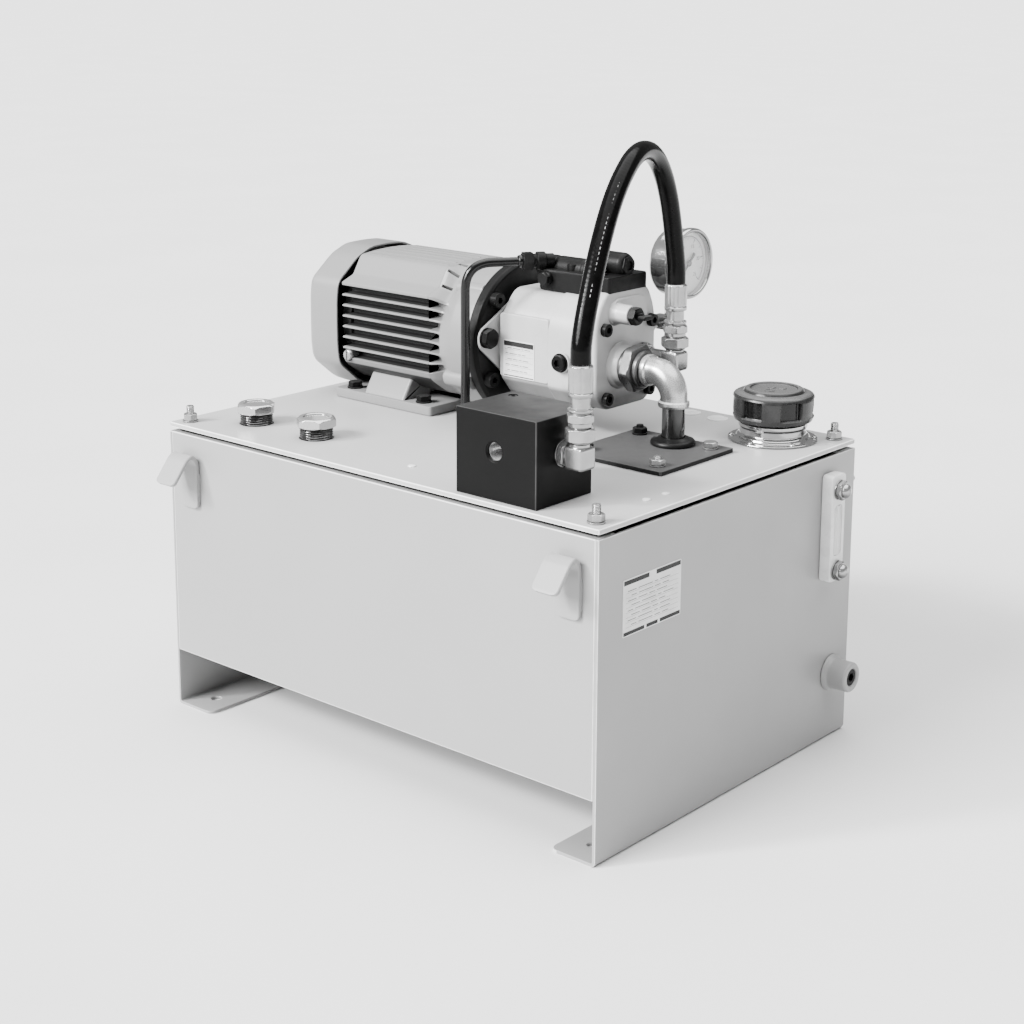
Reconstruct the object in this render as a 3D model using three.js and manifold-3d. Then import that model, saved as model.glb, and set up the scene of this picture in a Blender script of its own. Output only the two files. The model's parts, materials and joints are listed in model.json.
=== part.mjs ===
// Hydraulic power unit: a sheet-steel oil reservoir that carries an electric motor, a piston pump,
// a delivery block with its hose, a suction line, a filler breather, a level gauge and a drain.
// Millimetres, +Z up. Parts are laid out from the front left floor corner of the tank
// (x along the length, y towards the back) and the whole group is then centred on its footprint.

import * as THREE from 'three';
import { mergeVertices } from 'three/addons/utils/BufferGeometryUtils.js';
import Module from 'manifold-3d';

const wasm = await Module();
wasm.setup();

// ---------- driving dimensions ----------

const GAP = 0.3;                  // clearance between touching parts
const TANK = { length: 550, depth: 400, top: 300, floorGap: 60, sheet: 3.2, rim: 26 };
const LID = { thickness: 6, gasket: 3, gasketInset: 7, gasketWidth: 18, studInset: 15 };
const FOOT = { width: 50, bend: 5, holeInset: 25, holeEnd: 29, holeRadius: 5.5, corner: 8 };
const STUD = { radius: 4, length: 25, nutFlats: 13, nutHeight: 6.5, washer: 8 };
const HOOK = { width: 28, thickness: 4, inset: 17, low: 218, high: 266, reach: 35 };
const RETURN_PORTS = [[69, 55], [156, 55]];
const RETURN_PLUG = { radius: 16.6, flats: 36, thread: 10.5, head: 10.5, spigot: 14 };
const LEVEL = { y: 353, width: 24, thickness: 12, low: 170, high: 276, boltLow: 181, boltHigh: 261 };
const DRAIN = { y: 370, z: 69, reach: 25, radius: 15, base: 19, bore: 8.5 };
const SUCTION = { x: 439, y: 252, z: 372, pipe: 11, bore: 8, bend: 22, strainerTop: 150 };
const SUCTION_PLATE = { x: 433.5, y: 220.5, size: 115, thickness: 4, boltPitch: 83.5 };
const FILLER = { x: 489, y: 347, flange: 43.5, neck: 32, neckTop: 318, cap: 40, capTop: 351 };
const AXIS = { y: 262, z: 380 };  // common axis of the motor and the pump
const MOTOR = { coverStart: 5, coverEnd: 50, frameStart: 54, frameEnd: 178, end: 236, half: 78 };
const MOTOR_FOOT = { start: 43, end: 182, halfWidth: 74, rail: 50, thickness: 10, holes: [62, 162] };
const PUMP = { flangeEnd: 250, bodyEnd: 352, end: 375, half: 52, coverHalf: 45 };
const OUTLET = { x: 414, y: 286, z: 377, thread: 388 };
const PRESSURE_SCREW = { y: 243, z: 424, radius: 4, hole: 4.3 };
const GAUGE_PORT = { x: 364, y: 300, z: 402, radius: 5 };
const VALVE_PLUG = { y: 266, z: 464, radius: 11.5 };
const ROTOR = { journal: 7, shaft: 9.5, core: 39 };
const MOTOR_BOLT = { offset: 62.5, radius: 4, flats: 13 };
const BLOCK = { x0: 385.5, x1: 477, y0: 6, y1: 81, top: 377.5, portX: 429.6, portZ: 343.5 };
const BLOCK_OUTLET = { x: 495, y: 42, z: 344 };
const HOSE = { radius: 9, startZ: 424.5, endZ: 452.5, seat: 0.9 };
const DRAIN_TUBE = { x: 243, y: 174, radius: 4.5, bend: 36, low: 270 };
const DRAIN_FITTING = [275, 221, 466];
const GAUGE = { x0: 369, x1: 401, y: 331, z: 464, radius: 35, stemX: 377 };

const LID_BOTTOM = TANK.top - LID.thickness;
const WALL_TOP = LID_BOTTOM - LID.gasket;
const ON_LID = TANK.top + GAP;
const INNER_X0 = TANK.sheet + GAP;
const INNER_X1 = TANK.length - INNER_X0;
const HALF_TURN = Math.PI / 2;

const FINISH = {
  tank: [0xcfcfcc, 0.45, 0.1],
  lid: [0xd8d8d5, 0.45, 0.1],
  motor: [0xc9cac6, 0.5, 0.15],
  pump: [0xe9e8e0, 0.45, 0.1],
  zinc: [0xd6d8da, 0.25, 1.0],
  chrome: [0xe2e4e6, 0.12, 1.0],
  steel: [0x9a9c9e, 0.35, 1.0],
  oxide: [0x2c2d2f, 0.45, 0.6],
  rubber: [0x18181a, 0.4, 0.0],
  plastic: [0x17181a, 0.22, 0.0],
  casting: [0x3a3b3d, 0.6, 0.4],
  clear: [0xf0f2f2, 0.1, 0.0],
  dial: [0xf6f6f4, 0.5, 0.0],
  mesh: [0xb9bcbf, 0.4, 0.9],
};

// ---------- solids ----------

// Turns a three.js geometry into a closed solid with its faces pointing out.
function solid(geometry) {
  const bare = geometry.index ? geometry.toNonIndexed() : geometry.clone();
  for (const name of Object.keys(bare.attributes)) {
    if (name !== 'position') {
      bare.deleteAttribute(name);
    }
  }
  const merged = mergeVertices(bare, 1e-4);
  const points = merged.attributes.position.array;
  const triangles = [];
  let volume = 0;
  for (let i = 0; i < merged.index.count; i += 3) {
    const [a, b, c] = [0, 1, 2].map((corner) => merged.index.array[i + corner]);
    if (a === b || b === c || c === a) {
      continue;
    }
    triangles.push([a, b, c]);
    const [p, q, r] = [a, b, c].map((v) => new THREE.Vector3().fromArray(points, 3 * v));
    volume += p.dot(q.cross(r));
  }
  const triVerts = new Uint32Array(triangles.flatMap((t) => (volume < 0 ? t.reverse() : t)));
  return new wasm.Manifold(new wasm.Mesh({ numProp: 3, vertProperties: new Float32Array(points), triVerts }));
}

const joined = (...bodies) => bodies.reduce((whole, body) => whole.add(body));
const cut = (body, ...tools) => tools.reduce((rest, tool) => rest.subtract(tool), body);

// Turns geometry made along +Z so that it runs along the given axis, from the given start.
function along(geometry, axis, start) {
  if (axis === 'x') {
    geometry.applyMatrix4(new THREE.Matrix4().set(0, 0, 1, 0, 1, 0, 0, 0, 0, 1, 0, 0, 0, 0, 0, 1));
  } else if (axis === 'y') {
    geometry.applyMatrix4(new THREE.Matrix4().set(1, 0, 0, 0, 0, 0, 1, 0, 0, 1, 0, 0, 0, 0, 0, 1));
  }
  geometry.translate(...start);
  return solid(geometry);
}

function box(x0, x1, y0, y1, z0, z1) {
  const geometry = new THREE.BoxGeometry(x1 - x0, y1 - y0, z1 - z0);
  geometry.translate((x0 + x1) / 2, (y0 + y1) / 2, (z0 + z1) / 2);
  return solid(geometry);
}

function rod(axis, start, radius, length, sides = 12, endRadius = radius) {
  const geometry = new THREE.CylinderGeometry(endRadius, radius, length, sides);
  geometry.rotateX(HALF_TURN);
  geometry.translate(0, 0, length / 2);
  return along(geometry, axis, start);
}

// A turned part: the profile lists [radius, distance along the axis] and closes on itself or on the axis.
function turned(axis, start, profile, sides = 20) {
  const points = profile.map(([radius, height]) => new THREE.Vector2(radius, height));
  const geometry = new THREE.LatheGeometry(points, sides);
  geometry.rotateX(HALF_TURN);
  return along(geometry, axis, start);
}

function extruded(axis, start, shape, length, curveSegments = 6) {
  const geometry = new THREE.ExtrudeGeometry(shape, { depth: length, bevelEnabled: false, curveSegments });
  return along(geometry, axis, start);
}

const outline = (points) => new THREE.Shape(points.map(([u, v]) => new THREE.Vector2(u, v)));

function hexagon(acrossFlats, turn = 0) {
  const corner = acrossFlats / Math.sqrt(3);
  const angles = [0, 1, 2, 3, 4, 5].map((i) => turn + (i * Math.PI) / 3);
  return outline(angles.map((angle) => [corner * Math.cos(angle), corner * Math.sin(angle)]));
}

// A plain hexagon bar, for nuts and bolt heads.
function hexNut(axis, start, acrossFlats, length, turn = 0) {
  return extruded(axis, start, hexagon(acrossFlats, turn), length);
}

function tube(points, radius, steps, sides = 12) {
  const circle = new THREE.Shape();
  circle.absarc(0, 0, radius, 0, 2 * Math.PI);
  const given = points instanceof THREE.Curve;
  const path = given ? points : new THREE.CatmullRomCurve3(points, false, 'centripetal');
  const options = { steps, extrudePath: path, bevelEnabled: false, curveSegments: sides / 2 };
  return solid(new THREE.ExtrudeGeometry(circle, options));
}

// A rounded rectangle centred on a point.
function plateOutline(cx, cy, width, height, corner) {
  const [x0, x1, y0, y1] = [cx - width / 2, cx + width / 2, cy - height / 2, cy + height / 2];
  const shape = new THREE.Shape();
  shape.moveTo(x0 + corner, y0);
  shape.lineTo(x1 - corner, y0);
  shape.absarc(x1 - corner, y0 + corner, corner, -HALF_TURN, 0);
  shape.lineTo(x1, y1 - corner);
  shape.absarc(x1 - corner, y1 - corner, corner, 0, HALF_TURN);
  shape.lineTo(x0 + corner, y1);
  shape.absarc(x0 + corner, y1 - corner, corner, HALF_TURN, Math.PI);
  shape.lineTo(x0, y0 + corner);
  shape.absarc(x0 + corner, y0 + corner, corner, Math.PI, 3 * HALF_TURN);
  return shape;
}

function roundHole(cx, cy, radius) {
  const hole = new THREE.Path();
  hole.absarc(cx, cy, radius, 0, 2 * Math.PI, true);
  return hole;
}

// Mirrors a solid in a plane at right angles to the named axis.
function mirrored(body, axis, plane) {
  const mesh = body.getMesh();
  const geometry = new THREE.BufferGeometry();
  geometry.setAttribute('position', new THREE.BufferAttribute(new Float32Array(mesh.vertProperties), 3));
  geometry.setIndex(new THREE.BufferAttribute(new Uint32Array(mesh.triVerts), 1));
  const flip = axis === 'x' ? [-1, 1, 1] : [1, -1, 1];
  const shift = axis === 'x' ? [2 * plane, 0, 0] : [0, 2 * plane, 0];
  geometry.scale(...flip);
  geometry.translate(...shift);
  return solid(geometry);
}

// ---------- the assembly ----------

const unit = new THREE.Group();

function add(name, body, finish) {
  const [color, roughness, metalness] = FINISH[finish];
  const mesh = body.getMesh();
  const geometry = new THREE.BufferGeometry();
  geometry.setAttribute('position', new THREE.BufferAttribute(new Float32Array(mesh.vertProperties), 3));
  geometry.setIndex(new THREE.BufferAttribute(new Uint32Array(mesh.triVerts), 1));
  geometry.computeVertexNormals();
  const part = new THREE.Mesh(geometry, new THREE.MeshStandardMaterial({ color, roughness, metalness }));
  part.name = name;
  unit.add(part);
}

const studPlaces = [
  ['front_left', LID.studInset, LID.studInset],
  ['front_right', TANK.length - LID.studInset, LID.studInset],
  ['back_left', LID.studInset, TANK.depth - LID.studInset],
  ['back_right', TANK.length - LID.studInset, TANK.depth - LID.studInset],
];
const motorBoltPlaces = [
  ['front_rear_end', MOTOR_FOOT.holes[0], AXIS.y - MOTOR_BOLT.offset],
  ['front_drive_end', MOTOR_FOOT.holes[1], AXIS.y - MOTOR_BOLT.offset],
  ['back_rear_end', MOTOR_FOOT.holes[0], AXIS.y + MOTOR_BOLT.offset],
  ['back_drive_end', MOTOR_FOOT.holes[1], AXIS.y + MOTOR_BOLT.offset],
];

// ---------- tank ----------

function tankPanel() {
  const { sheet, floorGap, rim } = TANK;
  const profile = outline([
    [0, floorGap], [sheet, floorGap], [sheet, WALL_TOP - sheet], [rim, WALL_TOP - sheet],
    [rim, WALL_TOP], [0, WALL_TOP],
  ]);
  return extruded('x', [INNER_X0, 0, 0], profile, INNER_X1 - INNER_X0);
}

// An end plate runs down to the floor and turns inwards into a foot with two holes.
function endPlate() {
  const { sheet, depth } = TANK;
  const { width, bend, corner } = FOOT;
  const profile = new THREE.Shape();
  profile.moveTo(0, WALL_TOP);
  profile.lineTo(0, bend);
  profile.absarc(bend, bend, bend, Math.PI, 3 * HALF_TURN);
  profile.lineTo(width, 0);
  profile.lineTo(width, sheet);
  profile.lineTo(bend, sheet);
  profile.absarc(bend, bend, bend - sheet, 3 * HALF_TURN, Math.PI, true);
  profile.lineTo(sheet, WALL_TOP);
  const holes = [FOOT.holeEnd, depth - FOOT.holeEnd]
    .map((y) => rod('z', [FOOT.holeInset, y, -1], FOOT.holeRadius, sheet + 2));
  const reach = depth / 2 - corner;
  const corners = [0, depth].map((y) => {
    const middle = y === 0 ? corner : depth - corner;
    const [near, far] = [Math.min(y, middle) - 1, Math.max(y, middle) + 1];
    const square = box(width - corner, width + 1, near, far, -1, sheet + 1);
    const inner = rod('z', [width - corner, middle, -2], corner, sheet + 4, 16);
    const keep = box(width - corner - 1, width + 2, depth / 2 - reach, depth / 2 + reach, -2, sheet + 2);
    return cut(square, inner, keep);
  });
  return cut(extruded('y', [0, 0, 0], profile, depth), ...holes, ...corners);
}

// A steel strip welded to the wall and bent outwards into a lifting hook.
function hook(xStart) {
  const { thickness, low, high, reach, width } = HOOK;
  const wall = -GAP;
  const round = 11;
  const profile = new THREE.Shape();
  profile.moveTo(wall, low);
  profile.lineTo(wall, high - round);
  profile.absarc(wall - round, high - round, round, 0, HALF_TURN * 1.25);
  profile.lineTo(-reach, high - 17);
  profile.lineTo(-reach + 2, high - 17 - thickness);
  profile.absarc(wall - round, high - round, round - thickness, HALF_TURN * 1.25, 0, true);
  profile.lineTo(wall - thickness, low);
  return extruded('x', [xStart, 0, 0], profile, width);
}

function buildTank() {
  const { sheet, length, depth, floorGap } = TANK;
  const front = tankPanel();
  add('front_panel', front, 'tank');
  add('back_panel', mirrored(front, 'y', depth / 2), 'tank');
  const inner = sheet + GAP;
  add('bottom_panel', box(INNER_X0, INNER_X1, inner, depth - inner, floorGap, floorGap + sheet), 'tank');
  const plate = endPlate();
  add('left_end_plate', plate, 'tank');
  const gaugeHoles = [LEVEL.boltLow, LEVEL.boltHigh]
    .map((z) => rod('x', [length - sheet - 1, LEVEL.y, z], 5.5, sheet + 2));
  const drainHole = rod('x', [length - sheet - 1, DRAIN.y, DRAIN.z], DRAIN.bore, sheet + 2, 16);
  add('right_end_plate', cut(mirrored(plate, 'x', length / 2), ...gaugeHoles, drainHole), 'tank');
  for (const [name, x] of [['left', HOOK.inset], ['right', length - HOOK.inset - HOOK.width]]) {
    const strip = hook(x);
    add(`lifting_hook_front_${name}`, strip, 'tank');
    add(`lifting_hook_back_${name}`, mirrored(strip, 'y', depth / 2), 'tank');
  }
}

function buildLid() {
  const { length, depth } = TANK;
  const lid = plateOutline(length / 2, depth / 2, length, depth, 3);
  const gasketSize = [length - 2 * LID.gasketInset, depth - 2 * LID.gasketInset];
  const gasket = plateOutline(length / 2, depth / 2, ...gasketSize, 4);
  const opening = gasketSize.map((side) => side - 2 * LID.gasketWidth);
  gasket.holes.push(plateOutline(length / 2, depth / 2, ...opening, 4));
  for (const [, x, y] of studPlaces) {
    lid.holes.push(roundHole(x, y, STUD.radius + 0.5));
    gasket.holes.push(roundHole(x, y, STUD.radius + 0.9));
  }
  for (const [, x, y] of motorBoltPlaces) {
    lid.holes.push(roundHole(x, y, 4.5));
  }
  for (const [x, y] of RETURN_PORTS) {
    lid.holes.push(roundHole(x, y, RETURN_PLUG.radius + 1.2));
  }
  lid.holes.push(roundHole(FILLER.x, FILLER.y, 29));
  lid.holes.push(roundHole(SUCTION.x, SUCTION.y, 24));
  lid.holes.push(roundHole(DRAIN_TUBE.x, DRAIN_TUBE.y, DRAIN_TUBE.radius + 0.8));
  add('lid', extruded('z', [0, 0, LID_BOTTOM], lid, LID.thickness), 'lid');
  add('lid_gasket', extruded('z', [0, 0, WALL_TOP + GAP], gasket, LID.gasket - 2 * GAP, 4), 'rubber');
  for (const [name, x, y] of studPlaces) {
    const stud = rod('z', [x, y, WALL_TOP + GAP], STUD.radius, STUD.length, 12);
    const washer = rod('z', [x, y, ON_LID], STUD.washer, 1.6);
    const nut = hexNut('z', [x, y, ON_LID + 1.6], STUD.nutFlats, STUD.nutHeight);
    add(`lid_nut_${name}`, joined(stud, washer, nut), 'zinc');
  }
  for (const [index, [x, y]] of RETURN_PORTS.entries()) {
    const { radius, flats, thread, head, spigot } = RETURN_PLUG;
    const screw = rod('z', [x, y, TANK.top - spigot], radius, spigot + thread + 1, 20);
    const cap = hexNut('z', [x, y, TANK.top + thread], flats, head, 0.3);
    const recess = rod('z', [x, y, TANK.top + thread + head - 5], radius * 0.75, 6, 16);
    add(`return_port_plug_${index + 1}`, cut(joined(screw, cap), recess), 'chrome');
  }
}

// ---------- level gauge and drain on the end plate ----------

function buildEndFittings() {
  const wall = TANK.length + GAP;
  const { y, width, thickness, low, high, boltLow, boltHigh } = LEVEL;
  const section = plateOutline(y, (low + high) / 2, width, high - low, 6);
  const body = extruded('x', [wall, 0, 0], section, thickness);
  const window = box(wall + 3, wall + thickness + 1, y - 7, y + 7, boltLow + 16, boltHigh - 16);
  const bores = [boltLow, boltHigh].map((z) => rod('x', [wall - 1, y, z], 5.3, thickness + 2));
  add('level_gauge_body', cut(body, window, ...bores), 'clear');
  const sight = rod('z', [wall + 9, y, boltLow + 16 + GAP], 4.6, boltHigh - boltLow - 32 - 2 * GAP);
  add('level_gauge_tube', sight, 'clear');
  for (const [name, z] of [['lower', boltLow], ['upper', boltHigh]]) {
    const shank = rod('x', [TANK.length - 12, y, z], 5, thickness + 13);
    const head = hexNut('x', [wall + thickness + GAP, y, z], 17.4, 6);
    const domeProfile = [[0, 0], [7.2, 0], [6.2, 4], [3, 6], [0, 6.4]];
    const dome = turned('x', [wall + thickness + GAP + 6, y, z], domeProfile);
    add(`level_gauge_bolt_${name}`, joined(shank, head, dome), 'zinc');
  }
  const { reach, radius, base, bore } = DRAIN;
  const boss = turned('x', [wall, DRAIN.y, DRAIN.z], [
    [bore, 0], [base, 0], [base, 6], [base - 1.5, 7.5], [radius, 8.5], [radius, reach - 1.5 - GAP],
    [radius - 1.5, reach - GAP], [bore, reach - GAP], [bore, 0],
  ], 24);
  add('drain_boss', boss, 'tank');
  const plug = rod('x', [wall + 5, DRAIN.y, DRAIN.z], bore - GAP, reach - 6.5, 16);
  const socket = extruded('x', [wall + reach - 9, DRAIN.y, DRAIN.z], hexagon(8), 12);
  add('drain_plug', cut(plug, socket), 'oxide');
}

// ---------- suction line ----------

function buildSuction() {
  const { x, y, z, pipe, bore, bend, strainerTop } = SUCTION;
  const { size, thickness, boltPitch } = SUCTION_PLATE;
  const plate = plateOutline(SUCTION_PLATE.x, SUCTION_PLATE.y, size, size, 2);
  plate.holes.push(roundHole(x, y, 14));
  for (const [i, j] of [[-1, -1], [1, -1], [1, 1], [-1, 1]]) {
    const place = [SUCTION_PLATE.x + (i * boltPitch) / 2, SUCTION_PLATE.y + (j * boltPitch) / 2];
    plate.holes.push(roundHole(...place, 4.5));
  }
  add('suction_plate', extruded('z', [0, 0, ON_LID], plate, thickness), 'oxide');

  const seat = ON_LID + thickness + GAP;
  const grommet = turned('z', [x, y, seat], [
    [pipe + GAP, -6], [13.5, -6], [13.5, 0], [21.8, 0], [21.8, 3], [20, 5.2],
    [16.5, 6], [14, 7.5], [pipe + GAP, 7.5], [pipe + GAP, -6],
  ]);
  add('suction_pipe_grommet', grommet, 'rubber');

  const pipeTop = z - bend - 1;
  const straight = cut(rod('z', [x, y, strainerTop + GAP], pipe, pipeTop - strainerTop - GAP),
    rod('z', [x, y, strainerTop - 1], bore, pipeTop - strainerTop + 2));
  add('suction_pipe', straight, 'oxide');

  const foot = pipeTop - 8;
  const path = new THREE.CurvePath();
  const turn = (1 - Math.SQRT1_2) * bend;
  const points = [
    [x, y, foot], [x, y, z - bend], [x - turn, y, z - turn], [x - bend, y, z], [x - 32, y, z],
  ].map((p) => new THREE.Vector3(...p));
  path.add(new THREE.LineCurve3(points[0], points[1]));
  const corner = new THREE.Vector3(x, y, z);
  path.add(new THREE.QuadraticBezierCurve3(points[1], corner, points[3]));
  path.add(new THREE.LineCurve3(points[3], points[4]));
  const outer = tube(path, 13.3, 10, 12);
  const rings = joined(rod('z', [x, y, foot], 15.2, 6), rod('x', [x - 32, y, z], 15.5, 5));
  const inner = tube(path, bore, 10, 8);
  const ends = joined(rod('z', [x, y, foot - 1], pipe + GAP, 10), rod('x', [x - 33, y, z], 8, 6));
  add('suction_elbow', cut(joined(outer, rings), inner, ends), 'steel');

  const nutStart = PUMP.end + 10 + GAP;
  const nut = joined(
    hexNut('x', [nutStart, y, z], 42, x - 32 - GAP - nutStart - 5),
    rod('x', [nutStart, y, z], 18.5, x - 32 - GAP - nutStart),
  );
  add('suction_union_nut', cut(nut, rod('x', [nutStart - 1, y, z], 9, 40)), 'casting');

  const strainer = turned('z', [x, y, TANK.floorGap + 30], [
    [0, 0], [32, 0], [34, 2], [34, 8], [31, 9], [31, 48], [34, 49], [34, 56], [16, 60], [0, 60],
  ], 20);
  add('suction_strainer', strainer, 'mesh');
}

// ---------- filler breather ----------

function capOutline(radius, lobes) {
  const points = [];
  const steps = 5;
  for (let lobe = 0; lobe < lobes; lobe += 1) {
    for (let step = 0; step < steps; step += 1) {
      const fraction = step / steps;
      const angle = ((lobe + fraction) * 2 * Math.PI) / lobes;
      const ridge = fraction < 0.44;
      const reach = ridge ? radius : radius - 4.5;
      points.push([reach * Math.cos(angle), reach * Math.sin(angle)]);
    }
  }
  return outline(points);
}

function buildFiller() {
  const { x, y, flange, neck, neckTop, cap, capTop } = FILLER;
  const neckPart = turned('z', [x, y, 0], [
    [27, ON_LID], [flange, ON_LID], [flange, ON_LID + 2.2], [neck + 4, ON_LID + 2.6],
    [neck + 3, ON_LID + 5], [neck, ON_LID + 6.5], [neck, neckTop - 4], [neck + 1.4, neckTop - 3],
    [neck + 1.4, neckTop], [27, neckTop], [27, ON_LID],
  ], 24);
  add('filler_neck', neckPart, 'chrome');
  const sealSection = [[27.5, 0], [31.5, 0], [31.5, 1.5], [27.5, 1.5], [27.5, 0]];
  const seal = turned('z', [x, y, neckTop + GAP], sealSection, 20);
  add('filler_cap_seal', seal, 'rubber');
  const base = neckTop + 1.8 + GAP;
  const lobed = extruded('z', [x, y, base + 4], capOutline(cap, 6), capTop - base - 12);
  const skirt = rod('z', [x, y, base], cap - 2.5, 4.2, 24, cap);
  const crown = rod('z', [x, y, capTop - 8.2], cap - 1, 5.2, 24, cap - 6);
  const ring = rod('z', [x, y, capTop - 3.2], 26, 3.2, 24);
  const hollow = rod('z', [x, y, base - 1], 25, 17, 16);
  const dish = rod('z', [x, y, capTop - 1.4], 22, 3, 20);
  add('filler_cap', cut(joined(lobed, skirt, crown, ring), hollow, dish), 'plastic');
  const basketTop = neckTop - 4;
  const basket = turned('z', [x, y, 0], [
    [23.5, basketTop], [25.5, basketTop], [25.5, 190], [23, 187], [0, 187],
    [0, 188.5], [22.5, 188.5], [23.5, 191], [23.5, basketTop],
  ], 20);
  add('filler_strainer', basket, 'mesh');
}

// ---------- motor ----------

// Half of the motor frame's section, from the top centre line round the fins to the underside.
function motorSection() {
  const { z } = AXIS;
  const half = [[0, z + 73], [44, z + 70], [57, z + 51], [62, z + 48], [72, z + 43.5]];
  const fins = 7;
  const pitch = 11.2;
  const tip = 2.2;
  for (let fin = 0; fin < fins; fin += 1) {
    const gapTop = z + 40.8 - fin * pitch;
    const gapLow = gapTop - pitch + tip;
    half.push([72, gapTop], [60, gapTop - 1], [60, gapLow + 1], [72, gapLow]);
  }
  half.push([66, z - 44], [40, z - 62], [0, z - 64]);
  return half;
}

function motorOutline() {
  const half = motorSection();
  const front = half.map(([offset, height]) => [AXIS.y - offset, height]);
  const back = half.slice(1, -1).reverse().map(([offset, height]) => [AXIS.y + offset, height]);
  return outline([...front, ...back]);
}

// The pressed fan cover: a rounded octagon whose flat sides are slightly bowed.
function coverOutline(shrink) {
  const quarter = [[77, 14], [71, 46], [52, 66], [14, 77]];
  const corners = quarter.map(([u, v]) => {
    const scale = 1 - shrink / Math.hypot(u, v);
    return [u * scale, v * scale];
  });
  const upper = [...corners, ...corners.map(([u, v]) => [-u, v]).reverse()];
  const lower = upper.map(([u, v]) => [u, -v]).reverse();
  return outline([...upper, ...lower].map(([u, v]) => [AXIS.y + u, AXIS.z + v]));
}

function motorFoot() {
  const { start, end, halfWidth, rail, thickness } = MOTOR_FOOT;
  const parts = [];
  for (const side of [-1, 1]) {
    const [near, far] = [AXIS.y + side * halfWidth, AXIS.y + side * (halfWidth - rail)];
    const strip = box(start, end, Math.min(near, far), Math.max(near, far), ON_LID, ON_LID + thickness);
    const webFoot = AXIS.y + side * (halfWidth - 4);
    const webTop = AXIS.y + side * 50;
    const web = outline([
      [webFoot, ON_LID + 2], [webTop, AXIS.z - 42], [AXIS.y + side * 20, AXIS.z - 58],
      [AXIS.y + side * 30, ON_LID + 2],
    ]);
    parts.push(strip, extruded('x', [86, 0, 0], web, 52));
  }
  return joined(...parts);
}

function buildMotor() {
  const { y, z } = AXIS;
  const { coverStart, coverEnd, frameStart, frameEnd, end, half } = MOTOR;
  const boltHoles = motorBoltPlaces.map(([, bx, by]) => rod('z', [bx, by, ON_LID - 1], 5, 30));
  const shell = extruded('x', [frameStart, 0, 0], motorOutline(), frameEnd - frameStart);
  const spigot = rod('x', [frameStart - 12, y, z], 62, 14, 24);
  const bore = rod('x', [frameStart - 4, y, z], 54, frameEnd, 24);
  const shaftHole = rod('x', [frameStart - 14, y, z], 11, 20, 16);
  const coverRoom = box(MOTOR_FOOT.start - 1, coverEnd + 0.5, y - 58, y + 58, ON_LID - 1, ON_LID + 12);
  const footed = cut(joined(shell, motorFoot()), coverRoom);
  const frame = cut(joined(footed, spigot), bore, shaftHole, ...boltHoles);
  add('motor_frame', frame, 'motor');

  const stator = turned('x', [78, y, z], [[40, 0], [54 - GAP, 0], [54 - GAP, 78], [40, 78], [40, 0]], 24);
  add('stator_core', stator, 'steel');

  const coverOuter = extruded('x', [coverStart, 0, 0], coverOutline(0), coverEnd - coverStart);
  const coverInner = extruded('x', [coverStart + 2, 0, 0], coverOutline(2), coverEnd);
  const slots = [];
  for (const row of [-48, -36, -24, -12, 0, 12, 24, 36, 48]) {
    const reach = Math.sqrt(54 ** 2 - row ** 2);
    for (const side of [-1, 1]) {
      const [a, b] = [y + side * 6, y + side * reach];
      const [near, far] = [Math.min(a, b), Math.max(a, b)];
      slots.push(box(coverStart - 1, coverStart + 3, near, far, z + row - 3, z + row + 3));
    }
  }
  add('fan_cover', cut(coverOuter, coverInner, ...slots), 'motor');

  const bracket = turned('x', [0, y, z], [
    [11, end - 12], [50, end - 12], [54, 196], [54, frameEnd + GAP], [66, frameEnd + GAP],
    [71, 190], [76, 202], [half, 212], [half, end - 1], [half - 1, end], [11, end], [11, end - 12],
  ], 28);
  const boss = joined(
    rod('x', [204, y - 66, z - 36], 9, end - 204 - 0.5, 10),
    rod('x', [204, y + 66, z - 36], 9, end - 204 - 0.5, 10),
  );
  const hollow = rod('x', [frameEnd, y, z], 54, 18, 24);
  add('motor_end_bracket', cut(joined(bracket, boss), hollow), 'motor');

  const { journal, shaft, core } = ROTOR;
  const rotor = turned('x', [0, y, z], [
    [0, 12], [journal, 12], [journal, 44], [shaft, 44], [shaft, 76], [core, 80], [core, 154],
    [shaft, 158], [shaft, 300], [0, 300],
  ], 24);
  add('rotor_shaft', rotor, 'steel');

  const hub = cut(rod('x', [18, y, z], 14, 20, 16), rod('x', [17, y, z], journal + GAP, 22, 16));
  const blades = [];
  for (let i = 0; i < 7; i += 1) {
    const blade = new THREE.BoxGeometry(18, 2.4, 56);
    blade.translate(0, 0, 12 + 28);
    blade.rotateX((i * 2 * Math.PI) / 7);
    blade.translate(28, y, z);
    blades.push(solid(blade));
  }
  const backDisc = cut(rod('x', [34.5, y, z], 40, 2, 24), rod('x', [33, y, z], 12, 6, 16));
  add('cooling_fan', joined(hub, backDisc, ...blades), 'plastic');

  const seat = ON_LID + MOTOR_FOOT.thickness + GAP;
  for (const [name, bx, by] of motorBoltPlaces) {
    const shank = rod('z', [bx, by, LID_BOTTOM - 12], MOTOR_BOLT.radius, seat - LID_BOTTOM + 13);
    const washer = rod('z', [bx, by, seat], 8.5, 1.6);
    const head = hexNut('z', [bx, by, seat + 1.6], MOTOR_BOLT.flats, 5.6);
    add(`motor_bolt_${name}`, joined(shank, washer, head), 'oxide');
  }
}

// ---------- pump ----------

// The horizontal direction in which the case drain tube leaves the valve.
function drainDirection() {
  const [x, y] = DRAIN_FITTING;
  return new THREE.Vector3(DRAIN_TUBE.x - x, DRAIN_TUBE.y - y, 0).normalize();
}

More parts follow.
